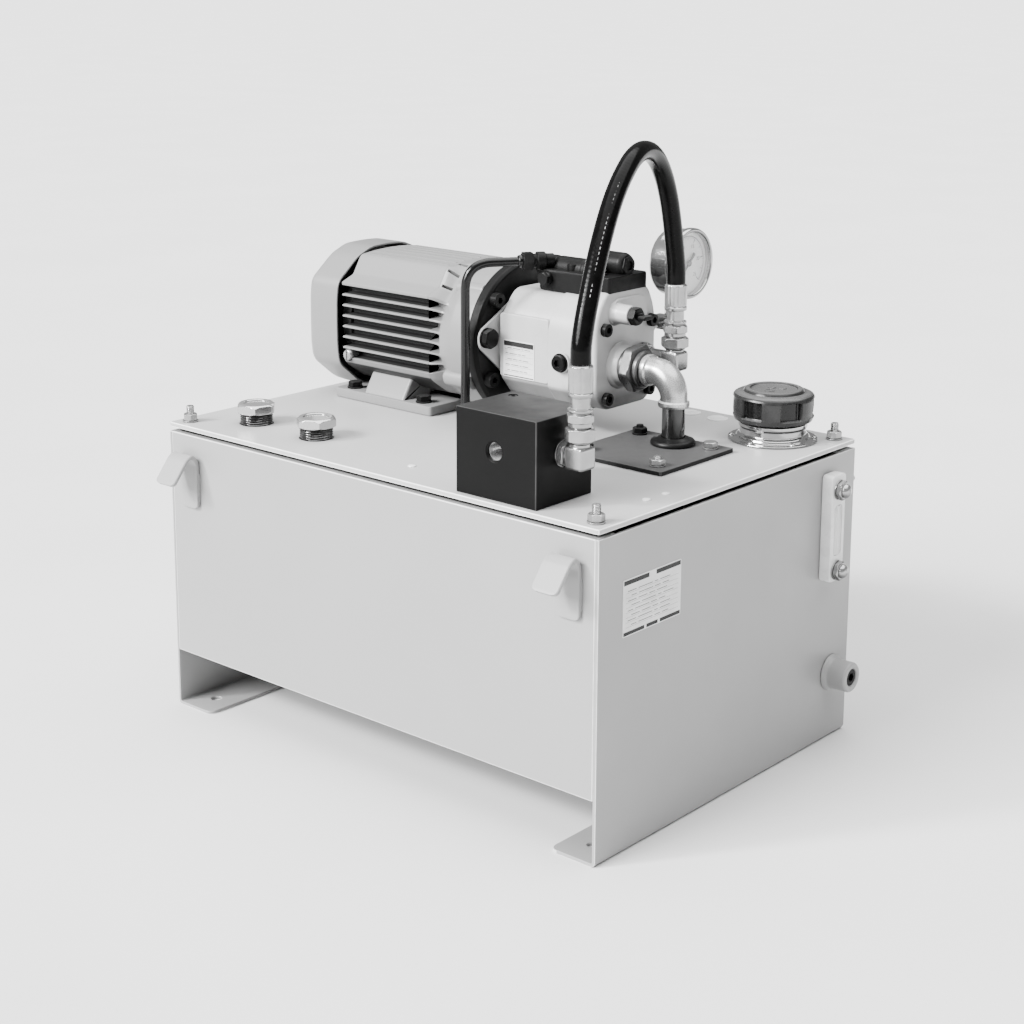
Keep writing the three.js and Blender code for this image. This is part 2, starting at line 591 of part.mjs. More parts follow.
// A stub and a tube nut on the valve, pointing towards the foot of the case drain tube.
function drainFitting() {
  const direction = drainDirection();
  const turn = Math.atan2(direction.y, direction.x);
  const nut = new THREE.ExtrudeGeometry(hexagon(17), { depth: 11, bevelEnabled: false });
  nut.rotateY(HALF_TURN);
  nut.translate(-11, 0, 0);
  const stub = new THREE.CylinderGeometry(7, 7, 24, 16);
  stub.rotateZ(HALF_TURN);
  stub.translate(-20, 0, 0);
  const pieces = [nut, stub].map((piece) => solid(piece.rotateZ(turn).translate(...DRAIN_FITTING)));
  return joined(...pieces);
}

function buildPump() {
  const { y, z } = AXIS;
  const { flangeEnd, bodyEnd, end, half, coverHalf } = PUMP;
  const screw = PRESSURE_SCREW;
  const plug = VALVE_PLUG;
  const flange = turned('x', [MOTOR.end + GAP, y, z], [
    [12, 0], [78, 0], [79, 1], [79, 10], [76, 13], [12, 13], [12, 0],
  ], 28);
  add('pump_mounting_flange', flange, 'casting');

  const start = flangeEnd + GAP;
  const section = outline([
    [y - half, z - 38], [y - 36, z - 54], [y + 36, z - 54], [y + half, z - 38],
    [y + half, z + 32], [y + 30, z + 57], [y - 30, z + 57], [y - half, z + 32],
  ]);
  const casing = extruded('x', [start + 6, 0, 0], section, bodyEnd - start - 6);
  const neck = rod('x', [start, y, z], 50, 12, 24);
  const ears = extruded('x', [start, 0, 0], outline([
    [y - 68, z + 10], [y - 68, z - 10], [y - 20, z - 44], [y + 20, z - 44], [y + 68, z - 10],
    [y + 68, z + 10], [y + 20, z + 44], [y - 20, z + 44],
  ]), 9);
  const chamber = rod('x', [start - 1, y, z], 44, bodyEnd - start - 6, 24);
  const rearHole = rod('x', [bodyEnd - 10, y, z], 12, 20, 16);
  add('pump_body', cut(joined(casing, neck, ears), chamber, rearHole), 'pump');

  const coverStart = bodyEnd + GAP;
  const cover = extruded('x', [coverStart, 0, 0], outline([
    [y - coverHalf - 4, z - 30], [y - 34, z - 50], [y + 34, z - 50], [y + coverHalf, z - 30],
    [y + coverHalf, z + 40], [y + 32, z + 66], [y - 32, z + 66], [y - coverHalf - 4, z + 40],
  ]), end - coverStart);
  const suctionBoss = rod('x', [end - 1, SUCTION.y, SUCTION.z], 20, 11, 20, 18.5);
  const screwBoss = rod('x', [end - 1, screw.y, screw.z], 9.5, 21, 16);
  const suctionPort = rod('x', [end - 12, SUCTION.y, SUCTION.z], 9, 30, 16);
  const screwHole = rod('x', [end - 10, screw.y, screw.z], screw.hole, 40);
  const outletHole = rod('x', [end - 12, OUTLET.y, OUTLET.z], 7.3, 20);
  const gaugeHole = rod('y', [GAUGE_PORT.x, GAUGE_PORT.y, GAUGE_PORT.z], GAUGE_PORT.radius + GAP, 20);
  const ported = cut(joined(cover, suctionBoss, screwBoss), suctionPort, screwHole, outletHole, gaugeHole);
  add('pump_end_cover', ported, 'pump');

  const barrel = rod('x', [302, y, z], 34, 34, 24);
  const pistons = [];
  for (let i = 0; i < 7; i += 1) {
    const angle = (i * 2 * Math.PI) / 7;
    pistons.push(rod('x', [282, y + 22 * Math.cos(angle), z + 22 * Math.sin(angle)], 5.5, 24, 8));
  }
  const shaftBore = rod('x', [290, y, z], ROTOR.shaft + GAP, 60, 16);
  add('cylinder_barrel', cut(joined(barrel, ...pistons), shaftBore), 'steel');

  const top = z + 57 + GAP;
  const valveBody = cut(
    joined(
      box(284, 345, y - 27, y + 27, top, z + 80),
      rod('x', [270, y - 6, z + 78], 12, 84, 16),
      box(340, end, y - 30, y + 30, z + 66 + GAP, z + 77),
      rod('x', [348, plug.y, plug.z], plug.radius, 30, 16),
      hexNut('x', [376, plug.y, plug.z], 17, 4),
      drainFitting(),
    ),
    extruded('x', [375, plug.y, plug.z], hexagon(9), 8),
  );
  add('control_valve', valveBody, 'casting');

  const nut = cut(
    hexNut('x', [end + 20 + GAP, screw.y, screw.z], 16, 8),
    rod('x', [end + 19, screw.y, screw.z], screw.hole, 12),
  );
  add('pressure_lock_nut', nut, 'oxide');
  const wingScrew = joined(
    rod('x', [end - 8, screw.y, screw.z], screw.radius, 47),
    box(end + 31, end + 40, screw.y - 7, screw.y + 7, screw.z - 2, screw.z + 2),
  );
  add('pressure_adjusting_screw', wingScrew, 'oxide');
}

// ---------- delivery line ----------

// The hose rises from the delivery block, arches over and comes down to the pump outlet.
const HOSE_ROUTE = [
  [495, 42, 424.5], [495, 42, 437], [493.1, 47.7, 455], [489.6, 58.1, 476], [485.2, 71.4, 500],
  [480.5, 85.7, 522], [475.5, 100.8, 541.5], [469.8, 117.9, 558.5], [463.2, 137.8, 573],
  [455.9, 159.7, 584], [448.7, 181.5, 588.5], [441.5, 203.3, 586], [434.5, 224.2, 576.5],
  [428.2, 243.2, 560], [423.2, 258.4, 539], [419.4, 269.8, 515], [416.6, 278.3, 490],
  [414.4, 285, 467], [414, 286, 452.5],
];

function hoseEnd(x, y, nutLow, collarLow, ferruleLow, ferruleTop) {
  return joined(
    hexNut('z', [x, y, nutLow], 24, collarLow - nutLow, 0.4),
    turned('z', [x, y, 0], [
      [0, collarLow - 1], [9.5, collarLow - 1], [9.5, collarLow + 5], [11, collarLow + 6],
      [11, collarLow + 9], [8.4, collarLow + 10.5], [8.4, ferruleLow - 3], [10.8, ferruleLow - 2],
      [10.8, ferruleLow + 1], [9.6, ferruleLow + 2], [9.6, ferruleTop], [0, ferruleTop],
    ], 14),
  );
}

function buildDelivery() {
  const { x0, x1, y0, y1, top, portX, portZ } = BLOCK;
  const { x, y, z } = BLOCK_OUTLET;
  const block = cut(
    box(x0, x1, y0, y1, ON_LID, top),
    rod('y', [portX, y0 - 1, portZ], 8, 40, 16),
    rod('x', [x1 - 20, y, z], 8.3, 30, 16),
  );
  const sidePlug = rod('x', [x0 - 4.5, 24, 352], 6.5, 6);
  add('delivery_block', joined(block, sidePlug), 'oxide');

  const elbow = joined(
    rod('x', [x1 - 14, y, z], 8, 20),
    hexNut('x', [x1 + GAP, y, z], 22, 7),
    rod('x', [x1 + 6, y, z], 9, 6),
    box(x - 10, x + 10, y - 10, y + 10, z - 11, z + 9),
    rod('z', [x, y, z], 9, 12 - GAP),
  );
  add('delivery_elbow', elbow, 'zinc');
  add('hose_end_block', hoseEnd(x, y, z + 12, 375, 398, HOSE.startZ - HOSE.seat), 'zinc');

  const outlet = joined(
    rod('x', [PUMP.end - 8, OUTLET.y, OUTLET.z], 7, 20),
    hexNut('x', [PUMP.end + GAP, OUTLET.y, OUTLET.z], 22, 8),
    rod('x', [PUMP.end + 7, OUTLET.y, OUTLET.z], 8, 28),
    box(OUTLET.x - 10, OUTLET.x + 10, OUTLET.y - 10, OUTLET.y + 10, OUTLET.z - 10, OUTLET.z + 10),
    rod('z', [OUTLET.x, OUTLET.y, OUTLET.z], 9, OUTLET.thread - OUTLET.z - GAP),
  );
  add('pump_outlet_elbow', outlet, 'zinc');
  add('hose_end_pump', hoseEnd(OUTLET.x, OUTLET.y, OUTLET.thread, 405, 428, HOSE.endZ - HOSE.seat), 'zinc');

  add('delivery_hose', tube(HOSE_ROUTE.map((p) => new THREE.Vector3(...p)), HOSE.radius, 26, 10), 'rubber');

  const direction = drainDirection();
  const leave = new THREE.Vector3(...DRAIN_FITTING);
  const corner = new THREE.Vector3(DRAIN_TUBE.x, DRAIN_TUBE.y, leave.z);
  const bend = corner.clone().addScaledVector(direction, -DRAIN_TUBE.bend);
  const drop = corner.clone().setZ(leave.z - DRAIN_TUBE.bend);
  const route = new THREE.CurvePath();
  route.add(new THREE.LineCurve3(leave.clone().addScaledVector(direction, GAP), bend));
  route.add(new THREE.QuadraticBezierCurve3(bend, corner, drop));
  route.add(new THREE.LineCurve3(drop, corner.clone().setZ(DRAIN_TUBE.low)));
  add('case_drain_tube', tube(route, DRAIN_TUBE.radius, 16, 8), 'oxide');
}

// ---------- pressure gauge ----------

// A thin pointer with a short broad tail, turned to the zero mark at the lower left.
function pointerOutline() {
  const turn = (225 * Math.PI) / 180;
  const straight = [[-11, -1.8], [-11, 1.8], [0, 1.4], [25, 0.4], [25, -0.4], [0, -1.4]];
  return outline(straight.map(([u, v]) => [
    u * Math.cos(turn) - v * Math.sin(turn),
    u * Math.sin(turn) + v * Math.cos(turn),
  ]));
}

function buildGauge() {
  const { x0, x1, y, z, radius, stemX } = GAUGE;
  const port = GAUGE_PORT;
  const elbow = joined(
    rod('y', [port.x, port.y, port.z], port.radius, y - port.y),
    hexNut('y', [port.x, PUMP.coverHalf + AXIS.y + GAP, port.z], 14, 6),
    box(port.x - 8, stemX + 6, y - 7, y + 7, port.z - 7, port.z + 7),
    rod('z', [stemX, y, 405], 5, 30),
    hexNut('z', [stemX, y, 410], 14, 8),
  );
  const shell = turned('x', [0, y, z], [
    [0, x0 + 1], [radius - 3, x0 + 1], [radius - 1.5, x0 + 3], [radius - 1.5, x1 - 6], [radius, x1 - 5],
    [radius, x1 - 1], [radius - 1, x1], [radius - 4, x1], [radius - 4, x1 - 8], [0, x1 - 8],
  ], 28);
  const pinHole = rod('x', [x1 - 12, y, z], 1.6, 10, 12);
  add('pressure_gauge_case', cut(joined(elbow, shell), pinHole), 'chrome');
  const dialStart = x1 - 8 + GAP;
  const rim = radius - 4.4;
  const face = turned('x', [dialStart, y, z], [[1.6, 0], [rim, 0], [rim, 1], [1.6, 1], [1.6, 0]], 28);
  add('pressure_gauge_dial', face, 'dial');
  const pointer = joined(
    rod('x', [x1 - 11, y, z], 1.2, 8.5, 12),
    rod('x', [x1 - 5, y, z], 3.2, 1.6, 12),
    extruded('x', [x1 - 5, y, z], pointerOutline(), 0.8),
  );
  add('pressure_gauge_needle', pointer, 'oxide');
}

buildTank();
buildLid();
buildEndFittings();
buildSuction();
buildFiller();
buildMotor();
buildPump();
buildDelivery();
buildGauge();

unit.position.set(-(TANK.length + DRAIN.reach) / 2, -TANK.depth / 2, 0);

export default unit;
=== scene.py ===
import json
import math

import bmesh
import bpy
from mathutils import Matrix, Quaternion, Vector


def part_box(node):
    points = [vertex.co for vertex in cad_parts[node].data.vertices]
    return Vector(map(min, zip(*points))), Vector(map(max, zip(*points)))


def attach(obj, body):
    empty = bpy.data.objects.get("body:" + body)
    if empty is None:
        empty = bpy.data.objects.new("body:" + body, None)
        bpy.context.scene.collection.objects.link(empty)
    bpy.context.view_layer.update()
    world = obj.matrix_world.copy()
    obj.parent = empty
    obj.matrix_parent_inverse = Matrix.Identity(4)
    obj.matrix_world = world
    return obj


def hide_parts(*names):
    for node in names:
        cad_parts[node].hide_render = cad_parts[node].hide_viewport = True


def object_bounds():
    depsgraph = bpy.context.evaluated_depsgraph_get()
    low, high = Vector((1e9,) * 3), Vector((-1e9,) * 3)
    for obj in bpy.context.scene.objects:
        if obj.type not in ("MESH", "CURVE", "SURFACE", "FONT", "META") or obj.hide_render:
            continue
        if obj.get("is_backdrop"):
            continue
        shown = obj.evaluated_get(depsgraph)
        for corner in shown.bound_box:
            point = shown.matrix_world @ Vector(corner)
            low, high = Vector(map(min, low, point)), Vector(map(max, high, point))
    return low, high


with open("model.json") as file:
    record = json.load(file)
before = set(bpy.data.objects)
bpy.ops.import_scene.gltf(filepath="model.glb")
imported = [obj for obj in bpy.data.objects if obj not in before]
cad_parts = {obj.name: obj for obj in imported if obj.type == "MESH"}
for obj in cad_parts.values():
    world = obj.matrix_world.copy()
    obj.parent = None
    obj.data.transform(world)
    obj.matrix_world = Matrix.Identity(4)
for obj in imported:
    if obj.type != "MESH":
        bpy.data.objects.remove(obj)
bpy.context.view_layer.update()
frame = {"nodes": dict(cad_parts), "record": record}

# Hydraulic power unit. Shapes are written in millimetres from the front left floor corner of the
# tank (x along its length, y towards the back, z up), the same layout as the CAD model.
MM = 0.001
CORNER = Vector(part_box("left_end_plate")[0])
TAU = 2 * math.pi
BODY_OF = {n: b for b, nodes in frame["record"]["behaviour"]["bodies"].items() for n in nodes}


def at(x, y, z):
    return CORNER + Vector((x, y, z)) * MM


def ends(node):
    """The low and high corners of a CAD node, in millimetres."""
    return [(Vector(p) - CORNER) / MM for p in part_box(node)]


def middle(node):
    low, high = ends(node)
    return (low + high) / 2


# ---------- camera ----------

CAMERA_AT = (1471.5, -1168.5, 761.5)
AZIMUTH, PITCH, ROLL = 41.021, 12.085, 0.205
FOCAL_PX, FRAME_PX, SHIFT_Y = 1898.8, 1024, -0.15


def make_camera():
    a, e, roll = math.radians(AZIMUTH), math.radians(PITCH), math.radians(ROLL)
    back = Vector((math.sin(a) * math.cos(e), -math.cos(a) * math.cos(e), math.sin(e)))
    data = bpy.data.cameras.new("camera")
    data.sensor_width = 36
    data.lens = FOCAL_PX / FRAME_PX * 36
    data.shift_y = SHIFT_Y
    data.clip_start, data.clip_end = 0.05, 100
    camera = bpy.data.objects.new("camera", data)
    bpy.context.collection.objects.link(camera)
    camera.location = at(*CAMERA_AT)
    camera.rotation_mode = "QUATERNION"
    camera.rotation_quaternion = Quaternion(back, roll) @ (-back).to_track_quat("-Z", "Y")
    bpy.context.scene.camera = camera


make_camera()

# ---------- shapes: each is (points, faces) in millimetres ----------

AXES = {
    "x": (Vector((0, 1, 0)), Vector((0, 0, 1)), Vector((1, 0, 0))),
    "y": (Vector((1, 0, 0)), Vector((0, 0, 1)), Vector((0, 1, 0))),
    "z": (Vector((1, 0, 0)), Vector((0, 1, 0)), Vector((0, 0, 1))),
}


def axes_of(axis):
    if isinstance(axis, str):
        return AXES[axis]
    w = Vector(axis).normalized()
    v = Vector((0, 0, 1)) if abs(w.z) < 0.9 else Vector((0, 1, 0))
    u = v.cross(w).normalized()
    return u, w.cross(u), w


def placed(axis, start, u, v, w):
    a, b, c = axes_of(axis)
    return Vector(start) + a * u + b * v + c * w


def loft(loops, closed=False):
    """Closed skin through loops of equally many points, with flat ends unless the loops close."""
    n = len(loops[0])
    points = [p for loop in loops for p in loop]
    faces = []
    rows = len(loops) if closed else len(loops) - 1
    for i in range(rows):
        a, b = i * n, ((i + 1) % len(loops)) * n
        for j in range(n):
            k = (j + 1) % n
            faces.append((a + j, a + k, b + k, b + j))
    if not closed:
        faces += [tuple(range(n)), tuple((len(loops) - 1) * n + j for j in range(n))]
    return points, faces


def radial(axis, start, rows, sides=72, closed=False):
    """A skin from rows of (height, radius), where radius may be a function of the angle."""
    loops = []
    for height, radius in rows:
        loop = []
        for j in range(sides):
            t = TAU * j / sides
            r = radius(t) if callable(radius) else radius
            loop.append(placed(axis, start, r * math.cos(t), r * math.sin(t), height))
        loops.append(loop)
    return loft(loops, closed)


def corner_arc(a, b, c, radius, steps):
    before, after = a - b, c - b
    reach = min(radius, 0.48 * before.length, 0.48 * after.length)
    if reach < 1e-4:
        return [b]
    p, q = b + before.normalized() * reach, b + after.normalized() * reach
    found = []
    for i in range(steps + 1):
        t = i / steps
        found.append(p * (1 - t) ** 2 + b * 2 * t * (1 - t) + q * t ** 2)
    return found


def rounded(points, radius, steps=3, closed=True):
    """The same outline or path with its corners rounded."""
    pts = [Vector(p) for p in points]
    radii = radius if isinstance(radius, (list, tuple)) else [radius] * len(pts)
    found = []
    for i, p in enumerate(pts):
        if not closed and i in (0, len(pts) - 1):
            found.append(p)
        else:
            found += corner_arc(pts[i - 1], p, pts[(i + 1) % len(pts)], radii[i], steps)
    return found


def turned(axis, start, profile, sides=72, soften=0.6, steps=2):
    """A turned part from [radius, height] points that start and end on the axis or close a ring."""
    ring = profile[0] == profile[-1]
    if ring:
        path = rounded([(r, h) for r, h in profile[:-1]], soften, steps)
    else:
        path = rounded([(r, h) for r, h in profile], soften, steps, closed=False)
    rows = [(h, max(r, 0.01)) for r, h in path]
    return radial(axis, start, rows, sides, closed=ring)


def rod(axis, start, radius, length, edge=0.5, sides=48):
    return turned(axis, start, [(0, 0), (radius, 0), (radius, length), (0, length)], sides, edge)


def collar(axis, start, inner, outer, length, edge=0.5, sides=96):
    """A plain ring."""
    profile = [(inner, 0), (outer, 0), (outer, length), (inner, length), (inner, 0)]
    return turned(axis, start, profile, sides, edge)


def inset(outline, amount):
    """The outline moved inwards by an amount, corner by corner."""
    pts = [Vector(p) for p in outline]
    area = sum(a.x * b.y - b.x * a.y for a, b in zip(pts, pts[1:] + pts[:1]))
    side = 1 if area > 0 else -1
    found = []
    for i, p in enumerate(pts):
        a, b = (p - pts[i - 1]), (pts[(i + 1) % len(pts)] - p)
        na = Vector((-a.y, a.x)).normalized() * side
        nb = Vector((-b.y, b.x)).normalized() * side
        m = (na + nb)
        m = m.normalized() if m.length > 1e-6 else na
        found.append(p + m * amount / max(0.4, m.dot(na)))
    return found


def prism(axis, start, outline, length, edge=0.5, steps=2):
    """An extruded outline whose two end edges are rounded."""
    loops = []
    stations = []
    for i in range(steps + 1):
        t = math.pi / 2 * i / steps
        stations.append((edge * (1 - math.sin(t)), edge * (1 - math.cos(t))))
    for shrink, height in stations:
        loops.append((inset(outline, shrink) if shrink > 1e-5 else outline, height))
    for shrink, height in reversed(stations):
        loops.append((inset(outline, shrink) if shrink > 1e-5 else outline, length - height))
    return loft([[placed(axis, start, p[0], p[1], h) for p in loop] for loop, h in loops])


def rectangle(x0, x1, y0, y1, corner=1.0, steps=3):
    return rounded([(x0, y0), (x1, y0), (x1, y1), (x0, y1)], corner, steps)


def block(x0, x1, y0, y1, z0, z1, edge=0.8, corner=None):
    outline = rectangle(x0, x1, y0, y1, corner if corner is not None else edge)
    return prism("z", (0, 0, z0), outline, z1 - z0, edge)


def hexagon(flats, turn=0.0):
    c = flats / math.sqrt(3)
    return [(c * math.cos(turn + i * TAU / 6), c * math.sin(turn + i * TAU / 6)) for i in range(6)]


def hex_radius(flats, turn, limit):
    def radius(t):
        offset = (t - turn) % (TAU / 6) - TAU / 12
        return min(flats / 2 / math.cos(offset), limit)
    return radius


def hex_bar(axis, start, flats, length, turn=0.0, chamfer=(True, True), recess=None):
    """A hexagon with turned chamfers, and an optional round recess (radius, depth) at its far end."""
    corner = flats / math.sqrt(3)
    cuts = [0.46 * flats + (corner - 0.46 * flats) * k / 4 for k in range(5)]
    rise = 0.55 * (corner - 0.46 * flats)
    rows = []
    if chamfer[0]:
        rows += [(rise * k / 4, hex_radius(flats, turn, c)) for k, c in enumerate(cuts)]
    else:
        rows += [(0, hex_radius(flats, turn, corner + 1))]
    if chamfer[1]:
        rows += [(length - rise * (4 - k) / 4, hex_radius(flats, turn, cuts[4 - k])) for k in range(5)]
    else:
        rows += [(length, hex_radius(flats, turn, corner + 1))]
    if recess:
        r, depth = recess
        rows += [(length, r + 0.5), (length - 0.5, r), (length - depth, r)]
    return radial(axis, start, rows, 72)


def threaded(axis, start, radius, length, pitch=1.25, depth=None, sides=32):
    """A screw thread as one helical skin."""
    depth = depth or 0.55 * pitch
    rows = []
    steps = max(4, int(length / pitch * 4))
    for i in range(steps + 1):
        h = length * i / steps
        end = min(1.0, (length - h) / (0.8 * pitch) + 0.25)

        def at_angle(t, h=h, end=end):
            phase = (h / pitch - t / TAU) % 1
            return radius * (0.86 + 0.14 * end) - depth * abs(2 * phase - 1)
        rows.append((h, at_angle))
    return radial(axis, start, rows, sides)


def swept(path, radius, sides=24):
    """A tube along a path. The radius is a number or one per point."""
    pts = [Vector(p) for p in path]
    radii = radius if isinstance(radius, (list, tuple)) else [radius] * len(pts)
    loops = []
    side = None
    for i, p in enumerate(pts):
        ahead, behind = pts[min(i + 1, len(pts) - 1)], pts[max(i - 1, 0)]
        w = (ahead - behind).normalized()
        if side is None:
            side = Vector((0, 1, 0)) if abs(w.y) < 0.9 else Vector((1, 0, 0))
        side = (side - w * side.dot(w)).normalized()
        other = w.cross(side)
        loops.append([p + (side * math.cos(TAU * j / sides) + other * math.sin(TAU * j / sides)) * radii[i]
                      for j in range(sides)])
    return loft(loops)


def smooth_path(points, steps=8):
    """A centripetal curve through the points."""
    pts = [Vector(p) for p in points]
    pts = [2 * pts[0] - pts[1]] + pts + [2 * pts[-1] - pts[-2]]
    found = []
    for i in range(1, len(pts) - 2):
        p0, p1, p2, p3 = pts[i - 1:i + 3]
        t = [0.0]
        for a, b in ((p0, p1), (p1, p2), (p2, p3)):
            t.append(t[-1] + math.sqrt((b - a).length))
        for k in range(steps):
            s = t[1] + (t[2] - t[1]) * k / steps
            a1 = p0 * (t[1] - s) / (t[1] - t[0]) + p1 * (s - t[0]) / (t[1] - t[0])
            a2 = p1 * (t[2] - s) / (t[2] - t[1]) + p2 * (s - t[1]) / (t[2] - t[1])
            a3 = p2 * (t[3] - s) / (t[3] - t[2]) + p3 * (s - t[2]) / (t[3] - t[2])
            b1 = a1 * (t[2] - s) / (t[2] - t[0]) + a2 * (s - t[0]) / (t[2] - t[0])
            b2 = a2 * (t[3] - s) / (t[3] - t[1]) + a3 * (s - t[1]) / (t[3] - t[1])
            found.append(b1 * (t[2] - s) / (t[2] - t[1]) + b2 * (s - t[1]) / (t[2] - t[1]))
    return found + [pts[-2]]


# ---------- objects ----------


def new_mesh(name, shapes):
    mesh = bpy.data.meshes.new(name)
    points, faces = [], []
    for found, skin in shapes:
        base = len(points)
        points += [at(*p) for p in found]
        faces += [[i + base for i in face] for face in skin]
    mesh.from_pydata(points, [], faces)
    bm = bmesh.new()
    bm.from_mesh(mesh)
    bmesh.ops.remove_doubles(bm, verts=bm.verts[:], dist=2e-6)
    bmesh.ops.recalc_face_normals(bm, faces=bm.faces[:])
    bm.to_mesh(mesh)
    bm.free()
    return mesh


def new_object(name, mesh):
    obj = bpy.data.objects.new(name, mesh)
    bpy.context.collection.objects.link(obj)
    return obj


def carve(obj, tools):
    """Cuts the tools out of the object's mesh."""
    cutter = new_object("cutter", new_mesh("cutter", tools))
    step = obj.modifiers.new("cut", "BOOLEAN")
    step.operation, step.solver, step.object = "DIFFERENCE", "EXACT", cutter
    step.use_self = True
    done = bpy.data.meshes.new_from_object(obj.evaluated_get(bpy.context.evaluated_depsgraph_get()))
    obj.modifiers.clear()
    obj.data = done
    bpy.data.objects.remove(cutter)


def mark_edges(obj, reach=1.6):
    """Marks the faces along a flat piece's outer edges, for a painted highlight along them."""
    box = [Vector(corner) for corner in obj.bound_box]
    low, high = box[0], box[6]
    mark = obj.data.attributes.new("edge", "FLOAT", "FACE")
    for face, item in zip(obj.data.polygons, mark.data):
        place = face.center
        sides = [axis for axis in range(3)
                 if min(place[axis] - low[axis], high[axis] - place[axis]) < reach * MM]
        slanted = max(abs(part) for part in face.normal) < 0.985
        item.value = 1.0 if slanted and len(sides) > 1 else 0.0
    return obj


def finish_piece(obj, material, body, smooth=32):
    obj.data.materials.clear()
    obj.data.materials.append(material)
    for face in obj.data.polygons:
        face.use_smooth = True
    obj.data.set_sharp_from_angle(angle=math.radians(smooth))
    step = obj.modifiers.new("normals", "WEIGHTED_NORMAL")
    step.keep_sharp = True
    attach(obj, body)
    return obj


def piece(name, shapes, material, body="unit", tools=(), smooth=32):
    obj = new_object(name, new_mesh(name, shapes))
    if tools:
        carve(obj, tools)
    return finish_piece(obj, material, body, smooth)


def fine(node, shapes, material, tools=(), smooth=32):
    """A detailed piece that stands for a CAD node."""
    obj = piece(node + "_fine", shapes, material, BODY_OF[node], tools, smooth)
    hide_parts(node)
    return obj


def refined(node, edge, material):
    """A copy of a CAD node's shape with its sharp edges rounded."""
    source = frame["nodes"][node]
    mesh = source.data.copy()
    mesh.transform(source.matrix_world)
    bm = bmesh.new()
    bm.from_mesh(mesh)
    bmesh.ops.remove_doubles(bm, verts=bm.verts[:], dist=1e-5)
    bmesh.ops.dissolve_limit(bm, angle_limit=math.radians(0.5), verts=bm.verts[:], edges=bm.edges[:])
    sharp = [e for e in bm.edges if e.is_manifold and e.calc_face_angle() > math.radians(30)]
    bmesh.ops.bevel(bm, geom=sharp, offset=edge * MM, segments=2, profile=0.7, affect="EDGES",
                    clamp_overlap=True)
    bm.to_mesh(mesh)
    bm.free()
    obj = new_object(node + "_fine", mesh)
    finish_piece(obj, material, BODY_OF[node], 50)
    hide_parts(node)
    return obj


# ---------- materials ----------


def grey(level, tint=(0, 0, 0)):
    return (level + tint[0], level + tint[1], level + tint[2], 1)


